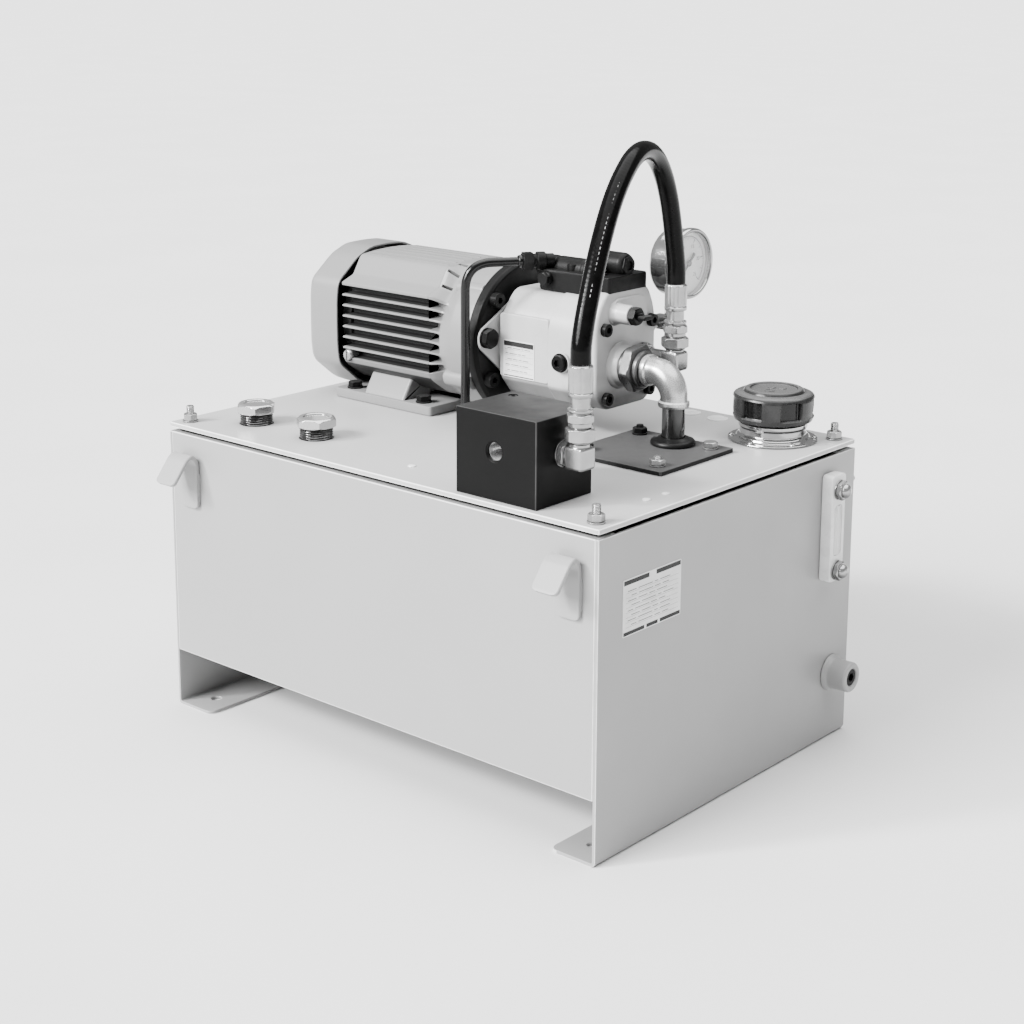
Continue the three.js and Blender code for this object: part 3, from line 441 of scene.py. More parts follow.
class Nodes:
    """A node tree with a Principled shader and small helpers."""

    def __init__(self, name, rough, metal=0.0):
        self.material = bpy.data.materials.new(name)
        self.material.use_nodes = True
        self.tree = self.material.node_tree
        self.shader = self.tree.nodes["Principled BSDF"]
        self.shader.inputs["Roughness"].default_value = rough
        self.shader.inputs["Metallic"].default_value = metal
        self.place = self.tree.nodes.new("ShaderNodeTexCoord").outputs["Object"]

    def link(self, a, b):
        self.tree.links.new(a, b)

    def stretched(self, scale):
        node = self.tree.nodes.new("ShaderNodeMapping")
        node.inputs["Scale"].default_value = scale
        self.link(self.place, node.inputs["Vector"])
        return node.outputs["Vector"]

    def noise(self, scale, detail=3.0, rough=0.5, vector=None, distortion=0.0):
        node = self.tree.nodes.new("ShaderNodeTexNoise")
        for key, value in (("Scale", scale), ("Detail", detail), ("Roughness", rough),
                           ("Distortion", distortion)):
            node.inputs[key].default_value = value
        self.link(vector or self.place, node.inputs["Vector"])
        return node.outputs["Fac"]

    def wave(self, scale, direction, distortion=0.0, vector=None):
        node = self.tree.nodes.new("ShaderNodeTexWave")
        node.bands_direction = direction
        node.inputs["Scale"].default_value = scale
        node.inputs["Distortion"].default_value = distortion
        self.link(vector or self.place, node.inputs["Vector"])
        return node.outputs["Fac"]

    def ramp(self, value, low, high, start, end):
        """Maps low..high of a value to start..end."""
        node = self.tree.nodes.new("ShaderNodeMapRange")
        for key, number in (("From Min", low), ("From Max", high), ("To Min", start), ("To Max", end)):
            node.inputs[key].default_value = number
        self.link(value, node.inputs["Value"])
        return node.outputs["Result"]

    def math(self, kind, a, b):
        node = self.tree.nodes.new("ShaderNodeMath")
        node.operation = kind
        for socket, value in zip(node.inputs, (a, b)):
            if isinstance(value, (int, float)):
                socket.default_value = value
            else:
                self.link(value, socket)
        return node.outputs[0]

    def mix(self, factor, a, b):
        node = self.tree.nodes.new("ShaderNodeMix")
        node.data_type = "RGBA"
        self.link(factor, node.inputs["Factor"])
        for key, value in (("A", a), ("B", b)):
            socket = [s for s in node.inputs if s.name == key and s.type == "RGBA"][0]
            if isinstance(value, tuple):
                socket.default_value = value
            else:
                self.link(value, socket)
        return [s for s in node.outputs if s.type == "RGBA"][0]

    def bump(self, height, distance, strength=1.0):
        node = self.tree.nodes.new("ShaderNodeBump")
        node.inputs["Distance"].default_value = distance
        node.inputs["Strength"].default_value = strength
        self.link(height, node.inputs["Height"])
        if self.shader.inputs["Normal"].links:
            self.link(self.shader.inputs["Normal"].links[0].from_socket, node.inputs["Normal"])
        self.link(node.outputs["Normal"], self.shader.inputs["Normal"])

    def painted_edge_highlight(self, base, level, share):
        """Lightens the edges that mark_edges found: a painted highlight."""
        mark = self.tree.nodes.new("ShaderNodeAttribute")
        mark.attribute_name = "edge"
        patchy = self.ramp(self.noise(60, 3), 0.25, 0.6, share * 0.6, share)
        return self.mix(self.math("MULTIPLY", mark.outputs["Fac"], patchy), base, grey(level))

    def facing(self, towards, low, high, start, end):
        """Maps how far the surface faces a fixed direction (-1 to 1) to start..end."""
        surface = self.tree.nodes.new("ShaderNodeNewGeometry")
        node = self.tree.nodes.new("ShaderNodeVectorMath")
        node.operation = "DOT_PRODUCT"
        self.link(surface.outputs["True Normal"], node.inputs[0])
        node.inputs[1].default_value = towards
        return self.ramp(node.outputs["Value"], low, high, start, end)

    def painted_shade(self, base, centre, half, keep, soft=0.001):
        """Painted shade: darkens the finish inside a box, where shade falls."""
        away = self.tree.nodes.new("ShaderNodeVectorMath")
        away.operation = "SUBTRACT"
        self.link(self.place, away.inputs[0])
        away.inputs[1].default_value = centre
        split = self.tree.nodes.new("ShaderNodeSeparateXYZ")
        self.link(away.outputs[0], split.inputs[0])
        inside = None
        for socket, reach in zip(split.outputs, half):
            near = self.ramp(self.math("ABSOLUTE", socket, 0), reach - soft, reach, 1, 0)
            inside = near if inside is None else self.math("MULTIPLY", inside, near)
        return self.mix(self.math("MULTIPLY", inside, 1 - keep), base, grey(0.003))

    def colour(self, socket):
        self.link(socket, self.shader.inputs["Base Color"])

    def rough(self, socket):
        self.link(socket, self.shader.inputs["Roughness"])

    def set(self, **values):
        for key, value in values.items():
            self.shader.inputs[key.replace("_", " ")].default_value = value
        return self


def paint(name, level, rough=0.42, peel=1.0, dirt=0.06, coat=0.25, painted_shade=None, gloss=0.5):
    """Sprayed enamel: slight orange peel, cloudy tone, specks and duller patches, with painted shade inside
    an optional box and a painted highlight along marked edges.
    """
    m = Nodes(name, rough)
    m.set(Coat_Weight=coat, Coat_Roughness=0.22, Specular_IOR_Level=gloss)
    cloud = m.noise(5.5, 5, 0.6)
    speck = m.noise(420, 2)
    base = m.mix(m.ramp(cloud, 0.3, 0.75, 0, 1), grey(level), grey(level * (1 - dirt)))
    base = m.mix(m.ramp(speck, 0.74, 0.8, 0, 0.35), base, grey(level * 0.7))
    # painted shade inside the given box
    if painted_shade:
        base = m.painted_shade(base, *painted_shade)
    # painted highlight along the edges that mark_edges found
    m.colour(m.painted_edge_highlight(base, min(0.95, level * 2.6), 0.85))
    m.rough(m.ramp(m.noise(14, 4), 0.3, 0.7, rough - 0.07, rough + 0.09))
    m.bump(m.noise(650, 2), 0.00006 * peel, 0.5)
    m.bump(m.noise(18, 2), 0.0006, 0.12)
    return m.material


def casting(name, level, rough, metal, grain=1.0, coat=0.0, painted_shade_level=1.0, painted_shade=None):
    """A sand-cast skin under paint or phosphate: lumpy grain, patchy tone, painted shade on downward faces
    and painted shade inside an optional box.
    """
    m = Nodes(name, rough, metal)
    m.set(Coat_Weight=coat, Coat_Roughness=0.3, Specular_IOR_Level=0.5 if level > 0.1 else 0.12)
    patch = m.noise(38, 5, 0.65)
    base = m.mix(m.ramp(patch, 0.3, 0.7, 0, 1), grey(level), grey(level * 0.86))
    # painted shade on downward faces
    base = m.mix(m.facing((0, 0, 1), -0.7, -0.2, 1, 0), base, grey(level * painted_shade_level))
    # painted shade inside the given box
    m.colour(m.painted_shade(base, *painted_shade) if painted_shade else base)
    m.rough(m.ramp(m.noise(90, 4), 0.3, 0.7, rough - 0.1, rough + 0.12))
    m.bump(m.noise(420, 5, 0.7), 0.0003 * grain, 0.5)
    m.bump(m.noise(110, 3), 0.0005 * grain, 0.25)
    return m.material


def plated(name, level, rough, stretch=(1, 1, 1), blotch=0.08, metal=0.6, painted_shade_level=0.5, painted_light_from=(0, 0, 1),
           painted_shade=None):
    """Plated or polished steel: faint tool marks, cloudy tarnish and fine scratches, with painted shade on
    the faces turned away from a given direction of light and inside an optional box.
    """
    m = Nodes(name, rough, metal)
    cloud = m.noise(75, 5, 0.6)
    base = m.mix(m.ramp(cloud, 0.3, 0.75, 0, 1), grey(level), grey(level * (1 - blotch)))
    # painted shade on the faces turned away from the given direction of light
    base = m.mix(m.facing(painted_light_from, -0.35, 0.2, 1, 0), base, grey(level * painted_shade_level))
    # painted shade inside the given box
    m.colour(m.painted_shade(base, *painted_shade) if painted_shade else base)
    marks = m.noise(900, 3, 0.6, m.stretched(stretch))
    m.rough(m.ramp(marks, 0.3, 0.7, max(0.03, rough - 0.06), rough + 0.08))
    m.bump(marks, 0.00004, 0.4)
    return m.material


def blackened(name, level, rough, metal=0.0, stretch=(1, 1, 18), coat=0.0, gloss=0.09, dust=0.022):
    """Blackened steel: ground grain and oily patches, with a painted highlight along marked edges."""
    m = Nodes(name, rough, metal)
    m.set(Coat_Weight=coat, Coat_Roughness=0.12, Specular_IOR_Level=gloss)
    grain = m.noise(260, 4, 0.6, m.stretched(stretch))
    base = m.mix(m.ramp(grain, 0.35, 0.65, 0, 1), grey(level * 0.8), grey(level * 1.25))
    base = m.mix(m.facing((0, 0, 1), 0.6, 0.95, 0, 1), base, grey(level + dust))
    # painted highlight along the edges that mark_edges found
    m.colour(m.painted_edge_highlight(base, level * 3 + 0.05, 0.7))
    m.rough(m.ramp(m.noise(30, 4), 0.3, 0.7, rough - 0.08, rough + 0.1))
    m.bump(grain, 0.00005, 0.5)
    return m.material


def moulded(name, level, rough, grain=1.0, coat=0.0):
    """Moulded plastic or rubber: fine matt grain, flow clouds and dust."""
    m = Nodes(name, rough)
    m.set(Coat_Weight=coat, Coat_Roughness=0.08, Specular_IOR_Level=0.5 if level > 0.1 else 0.14)
    cloud = m.noise(45, 4)
    base = m.mix(m.ramp(cloud, 0.3, 0.7, 0, 1), grey(level), grey(level * 0.8))
    m.colour(m.mix(m.ramp(m.noise(700, 2), 0.72, 0.8, 0, 0.3), base, grey(min(1, level * 1.6 + 0.03))))
    m.rough(m.ramp(m.noise(160, 4), 0.3, 0.7, max(0.05, rough - 0.06), rough + 0.1))
    m.bump(m.noise(1500, 2), 0.00004 * grain, 0.5)
    return m.material


def black_plastic_painted_light(name, centre, reach, level, outer):
    """Black plastic with painted light, greyed on its top and on what stands out from its axis, and painted
    shade that leaves the pockets black.
    """
    m = Nodes(name, 0.24)
    m.set(Specular_IOR_Level=0.3)
    away = m.tree.nodes.new("ShaderNodeVectorMath")
    away.operation = "SUBTRACT"
    m.link(m.place, away.inputs[0])
    away.inputs[1].default_value = at(*centre)
    split = m.tree.nodes.new("ShaderNodeSeparateXYZ")
    m.link(away.outputs[0], split.inputs[0])
    across = m.math("SQRT", m.math("ADD", m.math("POWER", split.outputs[0], 2),
                                   m.math("POWER", split.outputs[1], 2)), 0)
    # painted light on the lobes and the top; the pockets stay black as painted shade
    proud = m.math("MAXIMUM", m.ramp(across, reach * MM, (reach + 1.4) * MM, 0, 1),
                   m.ramp(split.outputs[2], 0.008, 0.0105, 0, 1))
    patchy = m.ramp(m.noise(90, 4), 0.2, 0.7, 0.65, 1)
    base = m.mix(m.math("MULTIPLY", proud, patchy), grey(level), grey(outer))
    # painted light on upward faces
    m.colour(m.mix(m.facing((0, 0, 1), 0.7, 0.97, 0, 1), base, grey(outer * 4)))
    m.rough(m.ramp(m.noise(160, 4), 0.3, 0.7, 0.18, 0.34))
    m.bump(m.noise(1500, 2), 0.00003, 0.5)
    return m.material


def gauze(name):
    """Woven wire cloth."""
    m = Nodes(name, 0.35, 0.9)
    weave = m.math("MAXIMUM", m.wave(420, "Z"), m.wave(420, "X", vector=m.stretched((1, 1, 1))))
    m.colour(m.mix(m.ramp(weave, 0.45, 0.75, 0, 1), grey(0.05), grey(0.55)))
    m.bump(weave, 0.0003, 0.8)
    return m.material


def clear(name, alpha, level=0.95):
    m = Nodes(name, 0.05)
    m.set(Alpha=alpha, Specular_IOR_Level=0.9)
    m.colour(m.mix(m.ramp(m.noise(120, 3), 0.3, 0.7, 0, 1), grey(level), grey(level * 0.93)))
    m.rough(m.ramp(m.noise(60, 3), 0.3, 0.7, 0.03, 0.1))
    return m.material


def hose_rubber(name):
    """Glossy wrapped rubber with a plain dashed lay line along the hose."""
    m = Nodes(name, 0.25)
    m.set(Specular_IOR_Level=0.07)
    lay = m.tree.nodes.new("ShaderNodeAttribute")
    lay.attribute_name = "lay"
    split = m.tree.nodes.new("ShaderNodeSeparateXYZ")
    m.link(lay.outputs["Vector"], split.inputs[0])
    angle, length = split.outputs[0], split.outputs[1]
    band = m.math("LESS_THAN", m.math("ABSOLUTE", m.math("SUBTRACT", angle, LAY_LINE), 0), 0.006)
    dash = m.math("GREATER_THAN", m.math("FRACT", m.math("MULTIPLY", length, 210), 0), 0.5)
    part = m.math("LESS_THAN", m.math("ABSOLUTE", m.math("SUBTRACT", length, 0.11), 0), 0.055)
    worn_off = m.ramp(m.noise(60, 3), 0.42, 0.58, 0, 1)
    line = m.math("MULTIPLY", m.math("MULTIPLY", band, dash), m.math("MULTIPLY", part, worn_off))
    base = m.mix(m.ramp(m.noise(120, 4), 0.3, 0.7, 0, 1), grey(0.0015), grey(0.003))
    m.colour(m.mix(m.math("MULTIPLY", line, 0.6), base, grey(0.5)))
    wrap = m.math("SINE", m.math("ADD", m.math("MULTIPLY", length, 1500), m.math("MULTIPLY", angle, TAU)), 0)
    m.bump(wrap, 0.00003, 0.5)
    m.bump(m.noise(700, 3), 0.00005, 0.4)
    m.rough(m.ramp(m.noise(80, 4), 0.3, 0.7, 0.12, 0.24))
    return m.material


LAY_LINE = 0.62

# painted shade under the tank, on the inner faces of the end plates' legs
UNDER_TANK_SHADE = (at(275, 200, 35), (0.2718, 0.198, 0.0305), 0.22)
TANK = paint("tank_enamel", 0.28, painted_shade=UNDER_TANK_SHADE)
LID = paint("lid_enamel", 0.41, rough=0.46)
MOTOR = paint("motor_enamel", 0.18, rough=0.45, peel=1.6, dirt=0.09)
# painted shade in the gaps between the motor's fins and under its frame
FIN_GAP_SHADE = (at(109, 262, 367.5), (0.0695, 0.069, 0.0545), 0.1)
FINNED = paint("finned_enamel", 0.2, rough=0.45, peel=1.6, dirt=0.09, coat=0.0, painted_shade=FIN_GAP_SHADE, gloss=0.12)
# painted shadow on the lower part of the pump's end cover
END_COVER_SHADOW = (at(368, 262, 322), (0.034, 0.07, 0.034), 0.16, 0.016)
# the pump casting has painted shade on its downward faces
PUMP = casting("pump_enamel", 0.42, 0.42, 0.0, 0.7, coat=0.3, painted_shade_level=0.22, painted_shade=END_COVER_SHADOW)
CASTING = casting("dark_casting", 0.004, 0.42, 0.0, 1.0)
# painted shade on the undersides of these plated metals
ZINC = plated("zinc", 0.46, 0.2, (1, 1, 6), 0.3, 0.82, 0.3)
CHROME = plated("chrome", 0.5, 0.07, (1, 1, 2), 0.05, 0.92, 0.25)
# painted shade on the return plugs' threads under their hexagons
PLUG_THREAD_SHADE = (at(120, 60, 300), (0.5, 0.5, 0.0112), 0.14)
PLUG = plated("plug_chrome", 0.6, 0.1, (1, 1, 2), 0.05, 0.8, 0.3, painted_shade=PLUG_THREAD_SHADE)
STEEL = plated("turned_steel", 0.4, 0.24, (8, 1, 1))
# painted shade on the elbow's faces turned away from the upper right
BRIGHT = plated("galvanised_elbow", 0.52, 0.26, (1, 1, 1), 0.12, 0.62, 0.1, (0.5, 0.38, 0.78))
PHOSPHATE = plated("phosphated", 0.09, 0.3, (1, 1, 1), 0.3, 0.5, 0.2)
OXIDE = blackened("black_oxide", 0.002, 0.36)
PIPE = blackened("black_pipe", 0.003, 0.12, 0.0, (1, 1, 1), gloss=0.6)
TUBE = blackened("black_tube", 0.003, 0.2, 0.0, (1, 1, 1), gloss=0.3)
PLATE = blackened("black_plate", 0.012, 0.4, 0.0, (1, 14, 1), dust=0.05)
RUBBER = moulded("rubber", 0.006, 0.34, 1.0)
PLASTIC = moulded("black_plastic", 0.004, 0.2, 0.6)
# painted light on the cap's lobes and top, painted shade in its pockets
CAP = black_plastic_painted_light("cap_plastic", middle("filler_cap"), 36.6, 0.003, 0.02)
WHITE = moulded("white_plastic", 0.78, 0.3, 0.5, coat=0.3)
DIAL = moulded("dial_enamel", 0.82, 0.4, 0.2)
INK = moulded("black_ink", 0.02, 0.4, 0.3)
LABEL = moulded("label_foil", 0.72, 0.38, 0.4, coat=0.3)
PALE_INK = moulded("grey_ink", 0.09, 0.45, 0.3)
GLASS = clear("gauge_glass", 0.14)
ACRYLIC = clear("acrylic", 0.42)
GAUZE = gauze("wire_gauze")
HOSE = hose_rubber("hose_rubber")

# ---------- the hose ----------

HOSE_ROUTE = [
    (0.2075, -0.158, 0.4245), (0.2075, -0.158, 0.437), (0.2056, -0.1523, 0.455), (0.2021, -0.1419, 0.476),
    (0.1977, -0.1286, 0.500), (0.1930, -0.1143, 0.522), (0.1880, -0.0992, 0.5415), (0.1823, -0.0821, 0.5585),
    (0.1757, -0.0622, 0.573), (0.1684, -0.0403, 0.584), (0.1612, -0.0185, 0.5885), (0.1540, 0.0033, 0.586),
    (0.1470, 0.0242, 0.5765), (0.1407, 0.0432, 0.560), (0.1357, 0.0584, 0.539), (0.1319, 0.0698, 0.515),
    (0.1291, 0.0783, 0.490), (0.1269, 0.085, 0.467), (0.1265, 0.086, 0.4525),
]
HOSE_RADIUS = 9.0
HOSE_SIDES = 40


def make_hose():
    path = smooth_path([(Vector(p) - CORNER) / MM for p in HOSE_ROUTE], 10)
    obj = new_object("delivery_hose_fine",
                     new_mesh("delivery_hose_fine", [swept(path, HOSE_RADIUS, HOSE_SIDES)]))
    lay = obj.data.attributes.new("lay", "FLOAT_VECTOR", "POINT")
    along = [0.0]
    for a, b in zip(path, path[1:]):
        along.append(along[-1] + (b - a).length * MM)
    for i, item in enumerate(lay.data):
        item.vector = ((i % HOSE_SIDES) / HOSE_SIDES, along[min(i // HOSE_SIDES, len(along) - 1)], 0)
    finish_piece(obj, HOSE, "unit")
    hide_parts("delivery_hose")


make_hose()

# ---------- tank ----------

# painted highlights along the outer edges of the tank's panels
for node in ("front_panel", "back_panel", "bottom_panel", "left_end_plate", "right_end_plate"):
    mark_edges(refined(node, 1.0, TANK))


HOOK_REACH, HOOK_TIP = 30.5, 247.0


def hook_path(wall, outwards):
    """The middle line of a lifting hook, from its foot on the wall up and over to its lip."""
    path = [(0, 218), (0, 265), (6, 273), (12.5, 270), (HOOK_REACH, HOOK_TIP)]
    radii = [0, 7, 6, 6, 0]
    return [(wall + outwards * (2.3 + u), z) for u, z in rounded(path, radii, 6, closed=False)]


HOOK_HALF_THICK, HOOK_CORNER, HOOK_RIM = 2.0, 5.0, 0.7
BACK_WALL = 400.0


def subdivided(path, spacing):
    """The same path with points no more than about the spacing apart."""
    found = [path[0]]
    for a, b in zip(path, path[1:]):
        parts = max(1, int(math.dist(a, b) / spacing))
        found += [(a[0] + (b[0] - a[0]) * k / parts, a[1] + (b[1] - a[1]) * k / parts)
                  for k in range(1, parts + 1)]
    return found


def make_hook(node):
    """A bent strip with rounded corners at both ends, and a weld bead down each side of its foot."""
    low, high = ends(node)
    front = low.y < 0
    wall, outwards = (0.0, -1) if front else (BACK_WALL, 1)
    path = hook_path(wall, outwards)
    total = sum(math.dist(a, b) for a, b in zip(path, path[1:]))
    middle_x, half = (low.x + high.x) / 2, (high.x - low.x) / 2
    loops = []
    gone = 0.0
    route = subdivided(path, 1.2)
    for i, p in enumerate(route):
        a, b = route[max(i - 1, 0)], route[min(i + 1, len(route) - 1)]
        if i:
            gone += math.dist(route[i - 1], p)
        along = Vector((b[0] - a[0], b[1] - a[1])).normalized()
        normal = Vector((-along.y, along.x))
        room = min(gone, total - gone)
        cut = HOOK_CORNER - math.sqrt(max(0.0, HOOK_CORNER ** 2 - max(0.0, HOOK_CORNER - room) ** 2))
        width = half - cut
        t = HOOK_HALF_THICK - 0.35 * (room < 0.3)
        rim = HOOK_RIM
        outline = [(-width, -t + rim), (-width + rim, -t), (width - rim, -t), (width, -t + rim),
                   (width, t - rim), (width - rim, t), (-width + rim, t), (-width, t - rim)]
        loops.append([Vector((middle_x + s, p[0] + normal.x * n, p[1] + normal.y * n)) for s, n in outline])
    shapes = [loft(loops)]
    for side in (-1, 1):
        weld_x = middle_x + side * (half - 1.2)
        bead = [(weld_x + 0.25 * math.sin(z), wall + outwards * 0.9, z) for z in range(226, 256, 2)]
        shapes.append(swept(bead, [1.5 + 0.25 * math.cos(k * 2.1) for k in range(len(bead))], 10))
    fine(node, shapes, TANK)


for end in ("front_left", "front_right", "back_left", "back_right"):
    make_hook("lifting_hook_" + end)

LID_TOP = ends("lid")[1].z
STUDS = [middle("lid_nut_" + e) for e in ("front_left", "front_right", "back_left", "back_right")]
PLUGS = [middle("return_port_plug_1"), middle("return_port_plug_2")]
FILLER = middle("filler_neck")
SUCTION = middle("suction_pipe")


def round_hole(p, radius):
    return rod("z", (p[0], p[1], 280), radius, 40, 0, 64)


DRAIN_HOLE = (243, 174)
lid_low, lid_high = ends("lid")
lid_slab = block(lid_low.x, lid_high.x, lid_low.y, lid_high.y, lid_low.z + 1.3, LID_TOP, 0.9, 3)
lid_holes = [round_hole(FILLER, 29), round_hole(SUCTION, 22)]
lid_holes += [round_hole(p, 17.2) for p in PLUGS]
lid_holes.append(round_hole(DRAIN_HOLE, 5.4))
# painted highlights along the lid's outer edges
mark_edges(fine("lid", [lid_slab], LID, tools=lid_holes))
refined("lid_gasket", 0.4, RUBBER)


def nut_stack(x, y, z, flats, height, washer, shank=(), turn=0.4):
    """A washer and a chamfered hexagon standing on z."""
    stack = [rod("z", (x, y, z), washer, 1.5, 0.4, 48),
             hex_bar("z", (x, y, z + 1.5), flats, height, turn)]
    return stack + list(shank)


for i, end in enumerate(("front_left", "front_right", "back_left", "back_right")):
    p = STUDS[i]
    low, high = ends("lid_nut_" + end)
    stud = [rod("z", (p.x, p.y, low.z), 3.9, 12, 0.2, 24),
            threaded("z", (p.x, p.y, 303), 4, high.z - 303, 1.25)]
    fine("lid_nut_" + end, nut_stack(p.x, p.y, LID_TOP + 0.2, 13, 6.6, 8, stud, 0.4 + i * 0.3), ZINC)

for i, p in enumerate(PLUGS):
    low, high = ends(f"return_port_plug_{i + 1}")
    fine(f"return_port_plug_{i + 1}", [
        threaded("z", (p.x, p.y, low.z), 16.5, high.z - low.z - 10, 2.3, 1.2, 72),
        hex_bar("z", (p.x, p.y, high.z - 10.5), 36, 10.5, 0.25 + 0.2 * i, (True, True), (12.5, 1.2)),
        rod("z", (p.x, p.y, high.z - 11.5), 15.4, 2, 0.6, 64),
    ], PLUG)

BUTTON = [(0, -3), (2, -3), (2, 0), (4, 0), (3.6, 1.1), (0, 1.7)]
for i, (x, y) in enumerate(((299, 40), (525.8, 96), (527.3, 122))):
    button = turned("z", (x, y, LID_TOP), BUTTON, 40, 0.5)
    piece(f"lid_button_plug_{i + 1}", [button], WHITE)
BLANKING_DISC = [(0, -2), (8, -2), (8, 0), (11, 0), (10.6, 1), (8, 1.3), (7.6, 0.9), (0, 0.9)]
for i, (x, y) in enumerate(((368, 379), (403, 377))):
    disc = turned("z", (x, y, LID_TOP), BLANKING_DISC, 64, 0.3)
    piece(f"lid_blanking_disc_{i + 1}", [disc], WHITE)

# ---------- level gauge, drain and nameplate on the right end ----------

low, high = ends("level_gauge_body")
gy, wall = (low.y + high.y) / 2, low.x
bolt_z = [middle("level_gauge_bolt_lower").z, middle("level_gauge_bolt_upper").z]
fine("level_gauge_body", [
    prism("x", (wall, 0, 0), rectangle(low.y, high.y, low.z, high.z, 5, 6), high.x - wall, 1.2),
], WHITE, tools=[
    prism("x", (wall + 3, 0, 0), rectangle(gy - 7, gy + 7, bolt_z[0] + 15, bolt_z[1] - 15, 4, 5), 20, 0),
    *[rod("x", (wall - 2, gy, z), 5.3, 20, 0, 40) for z in bolt_z],
])
tube_path = [(wall + 8.6, gy, z) for z in (bolt_z[0] + 15.6, bolt_z[1] - 15.6)]
fine("level_gauge_tube", [swept(tube_path, 4.4, 40)], ACRYLIC)
window = rectangle(gy - 6.8, gy + 6.8, bolt_z[0] + 15.3, bolt_z[1] - 15.3, 4, 5)
piece("level_gauge_window", [prism("x", (wall + 10.2, 0, 0), window, 1.6, 0.3)], ACRYLIC)
ticks = []
for k in range(9):
    tick_end = gy - (2.5 if k % 4 else 0)
    tick_low = bolt_z[0] + 20 + 5 * k
    tick_high = bolt_z[0] + 20.7 + 5 * k
    ticks.append(block(wall + 3.02, wall + 3.3, gy - 6 + 0.01 * k, tick_end, tick_low, tick_high, 0.05))
piece("level_gauge_marks", ticks, INK)
for name in ("lower", "upper"):
    node = "level_gauge_bolt_" + name
    a, b = ends(node)
    z = (a.z + b.z) / 2
    fine(node, [
        threaded("x", (a.x, gy, z), 5, 16, 1.5), rod("x", (high.x + 0.1, gy, z), 10, 1.4, 0.4, 56),
        hex_bar("x", (high.x + 1.4, gy, z), 17, 5.4, 0.2, (True, True)),
        turned("x", (high.x + 6.6, gy, z),
               [(0, 0), (7.2, 0), (6.6, 2.6), (4.6, 4.8), (0, b.x - high.x - 6.7)], 56, 1.5, 4),
    ], ZINC)

low, high = ends("drain_boss")
dy, dz = (low.y + high.y) / 2, (low.z + high.z) / 2
reach = high.x - low.x
fine("drain_boss", [turned("x", (low.x, dy, dz), [
    (8.5, 0), (18.6, 0), (17.6, 2.6), (15.2, 5.2), (15, 8), (15, reach - 1.5), (13.6, reach), (9.6, reach),
    (8.6, reach - 1), (8.5, 0)], 80, 1.2, 3)], TANK)
low, high = ends("drain_plug")
fine("drain_plug", [rod("x", (low.x, dy, dz), 8.2, high.x - low.x, 0.8, 56)], OXIDE,
     tools=[prism("x", (high.x - 8, dy, dz), hexagon(8.2), 12, 0)])


def nameplate(name, to_world, width, height, bands):
    """A foil plate with printed bars and ruled rows, and no lettering."""
    def strip(u0, u1, v0, v1, lift, depth):
        return [to_world(u, v, w) for u, v, w in (
            (u0, v0, lift), (u1, v0, lift), (u1, v1, lift), (u0, v1, lift),
            (u0, v0, lift + depth), (u1, v0, lift + depth), (u1, v1, lift + depth), (u0, v1, lift + depth))]
    faces = [(0, 1, 2, 3), (4, 5, 6, 7), (0, 1, 5, 4), (1, 2, 6, 5), (2, 3, 7, 6), (3, 0, 4, 7)]
    corner = rectangle(0, width, 0, height, 1.5, 3)
    loops = [[to_world(p.x, p.y, w) for p in inset(corner, s)] for w, s in ((0, 0), (0.35, 0), (0.5, 0.15))]
    piece(name, [loft(loops)], LABEL)
    black = [(strip(u0, u1, v0, v1, 0.5, 0.05), faces) for u0, u1, v0, v1 in bands]
    piece(name + "_bars", black, INK)
    rows = []
    count = max(3, int(height / 6.2))
    for r in range(count):
        v = height * (0.18 + 0.6 * r / (count - 1))
        start = width * (0.08 if r % 2 else 0.14)
        steps = (0.18, 0.3, 0.12, 0.22)
        for k, share in enumerate(steps):
            span = width * share * (0.8 if (r + k) % 3 else 0.5)
            rows.append((strip(start, start + span, v, v + 0.7, 0.5, 0.04), faces))
            start += span + width * 0.035
        rows.append((strip(width * 0.05, width * 0.95, v - 1.3, v - 1.1, 0.5, 0.03), faces))
    piece(name + "_rows", rows, PALE_INK)


plate_x = ends("right_end_plate")[1].x
nameplate("tank_nameplate", lambda u, v, w: Vector((plate_x + 0.02 + w, 33 + u, 197.5 + v)), 82, 50.5,
          [(1, 36, 45.5, 49.6), (46, 81, 45.5, 49.6), (1, 30, 0.9, 4.2), (33, 49, 0.9, 4.2),
           (52, 81, 0.9, 4.2)])

# ---------- suction line ----------

low, high = ends("suction_plate")
px, py, plate_top = (low.x + high.x) / 2, (low.y + high.y) / 2, high.z
# painted highlights along the suction plate's outer edges
mark_edges(fine("suction_plate", [block(low.x, high.x, low.y, high.y, low.z, high.z, 0.5, 2)], PLATE,
                tools=[round_hole(SUCTION, 14)]))
SUCTION_BOLT_REACH = 41.75
for i, (sx, sy) in enumerate(((-1, -1), (1, -1), (1, 1), (-1, 1))):
    x, y = px + sx * SUCTION_BOLT_REACH, py + sy * SUCTION_BOLT_REACH
    shank = [threaded("z", (x, y, plate_top + 5), 3.9, 4.5, 1.25)] if i % 2 else []
    bolt = nut_stack(x, y, plate_top, 13, 5.3, 7.6, shank, 0.5 + i)
    is_plated = i in (1, 2)
    piece(f"suction_plate_bolt_{i + 1}", bolt, ZINC if is_plated else OXIDE)

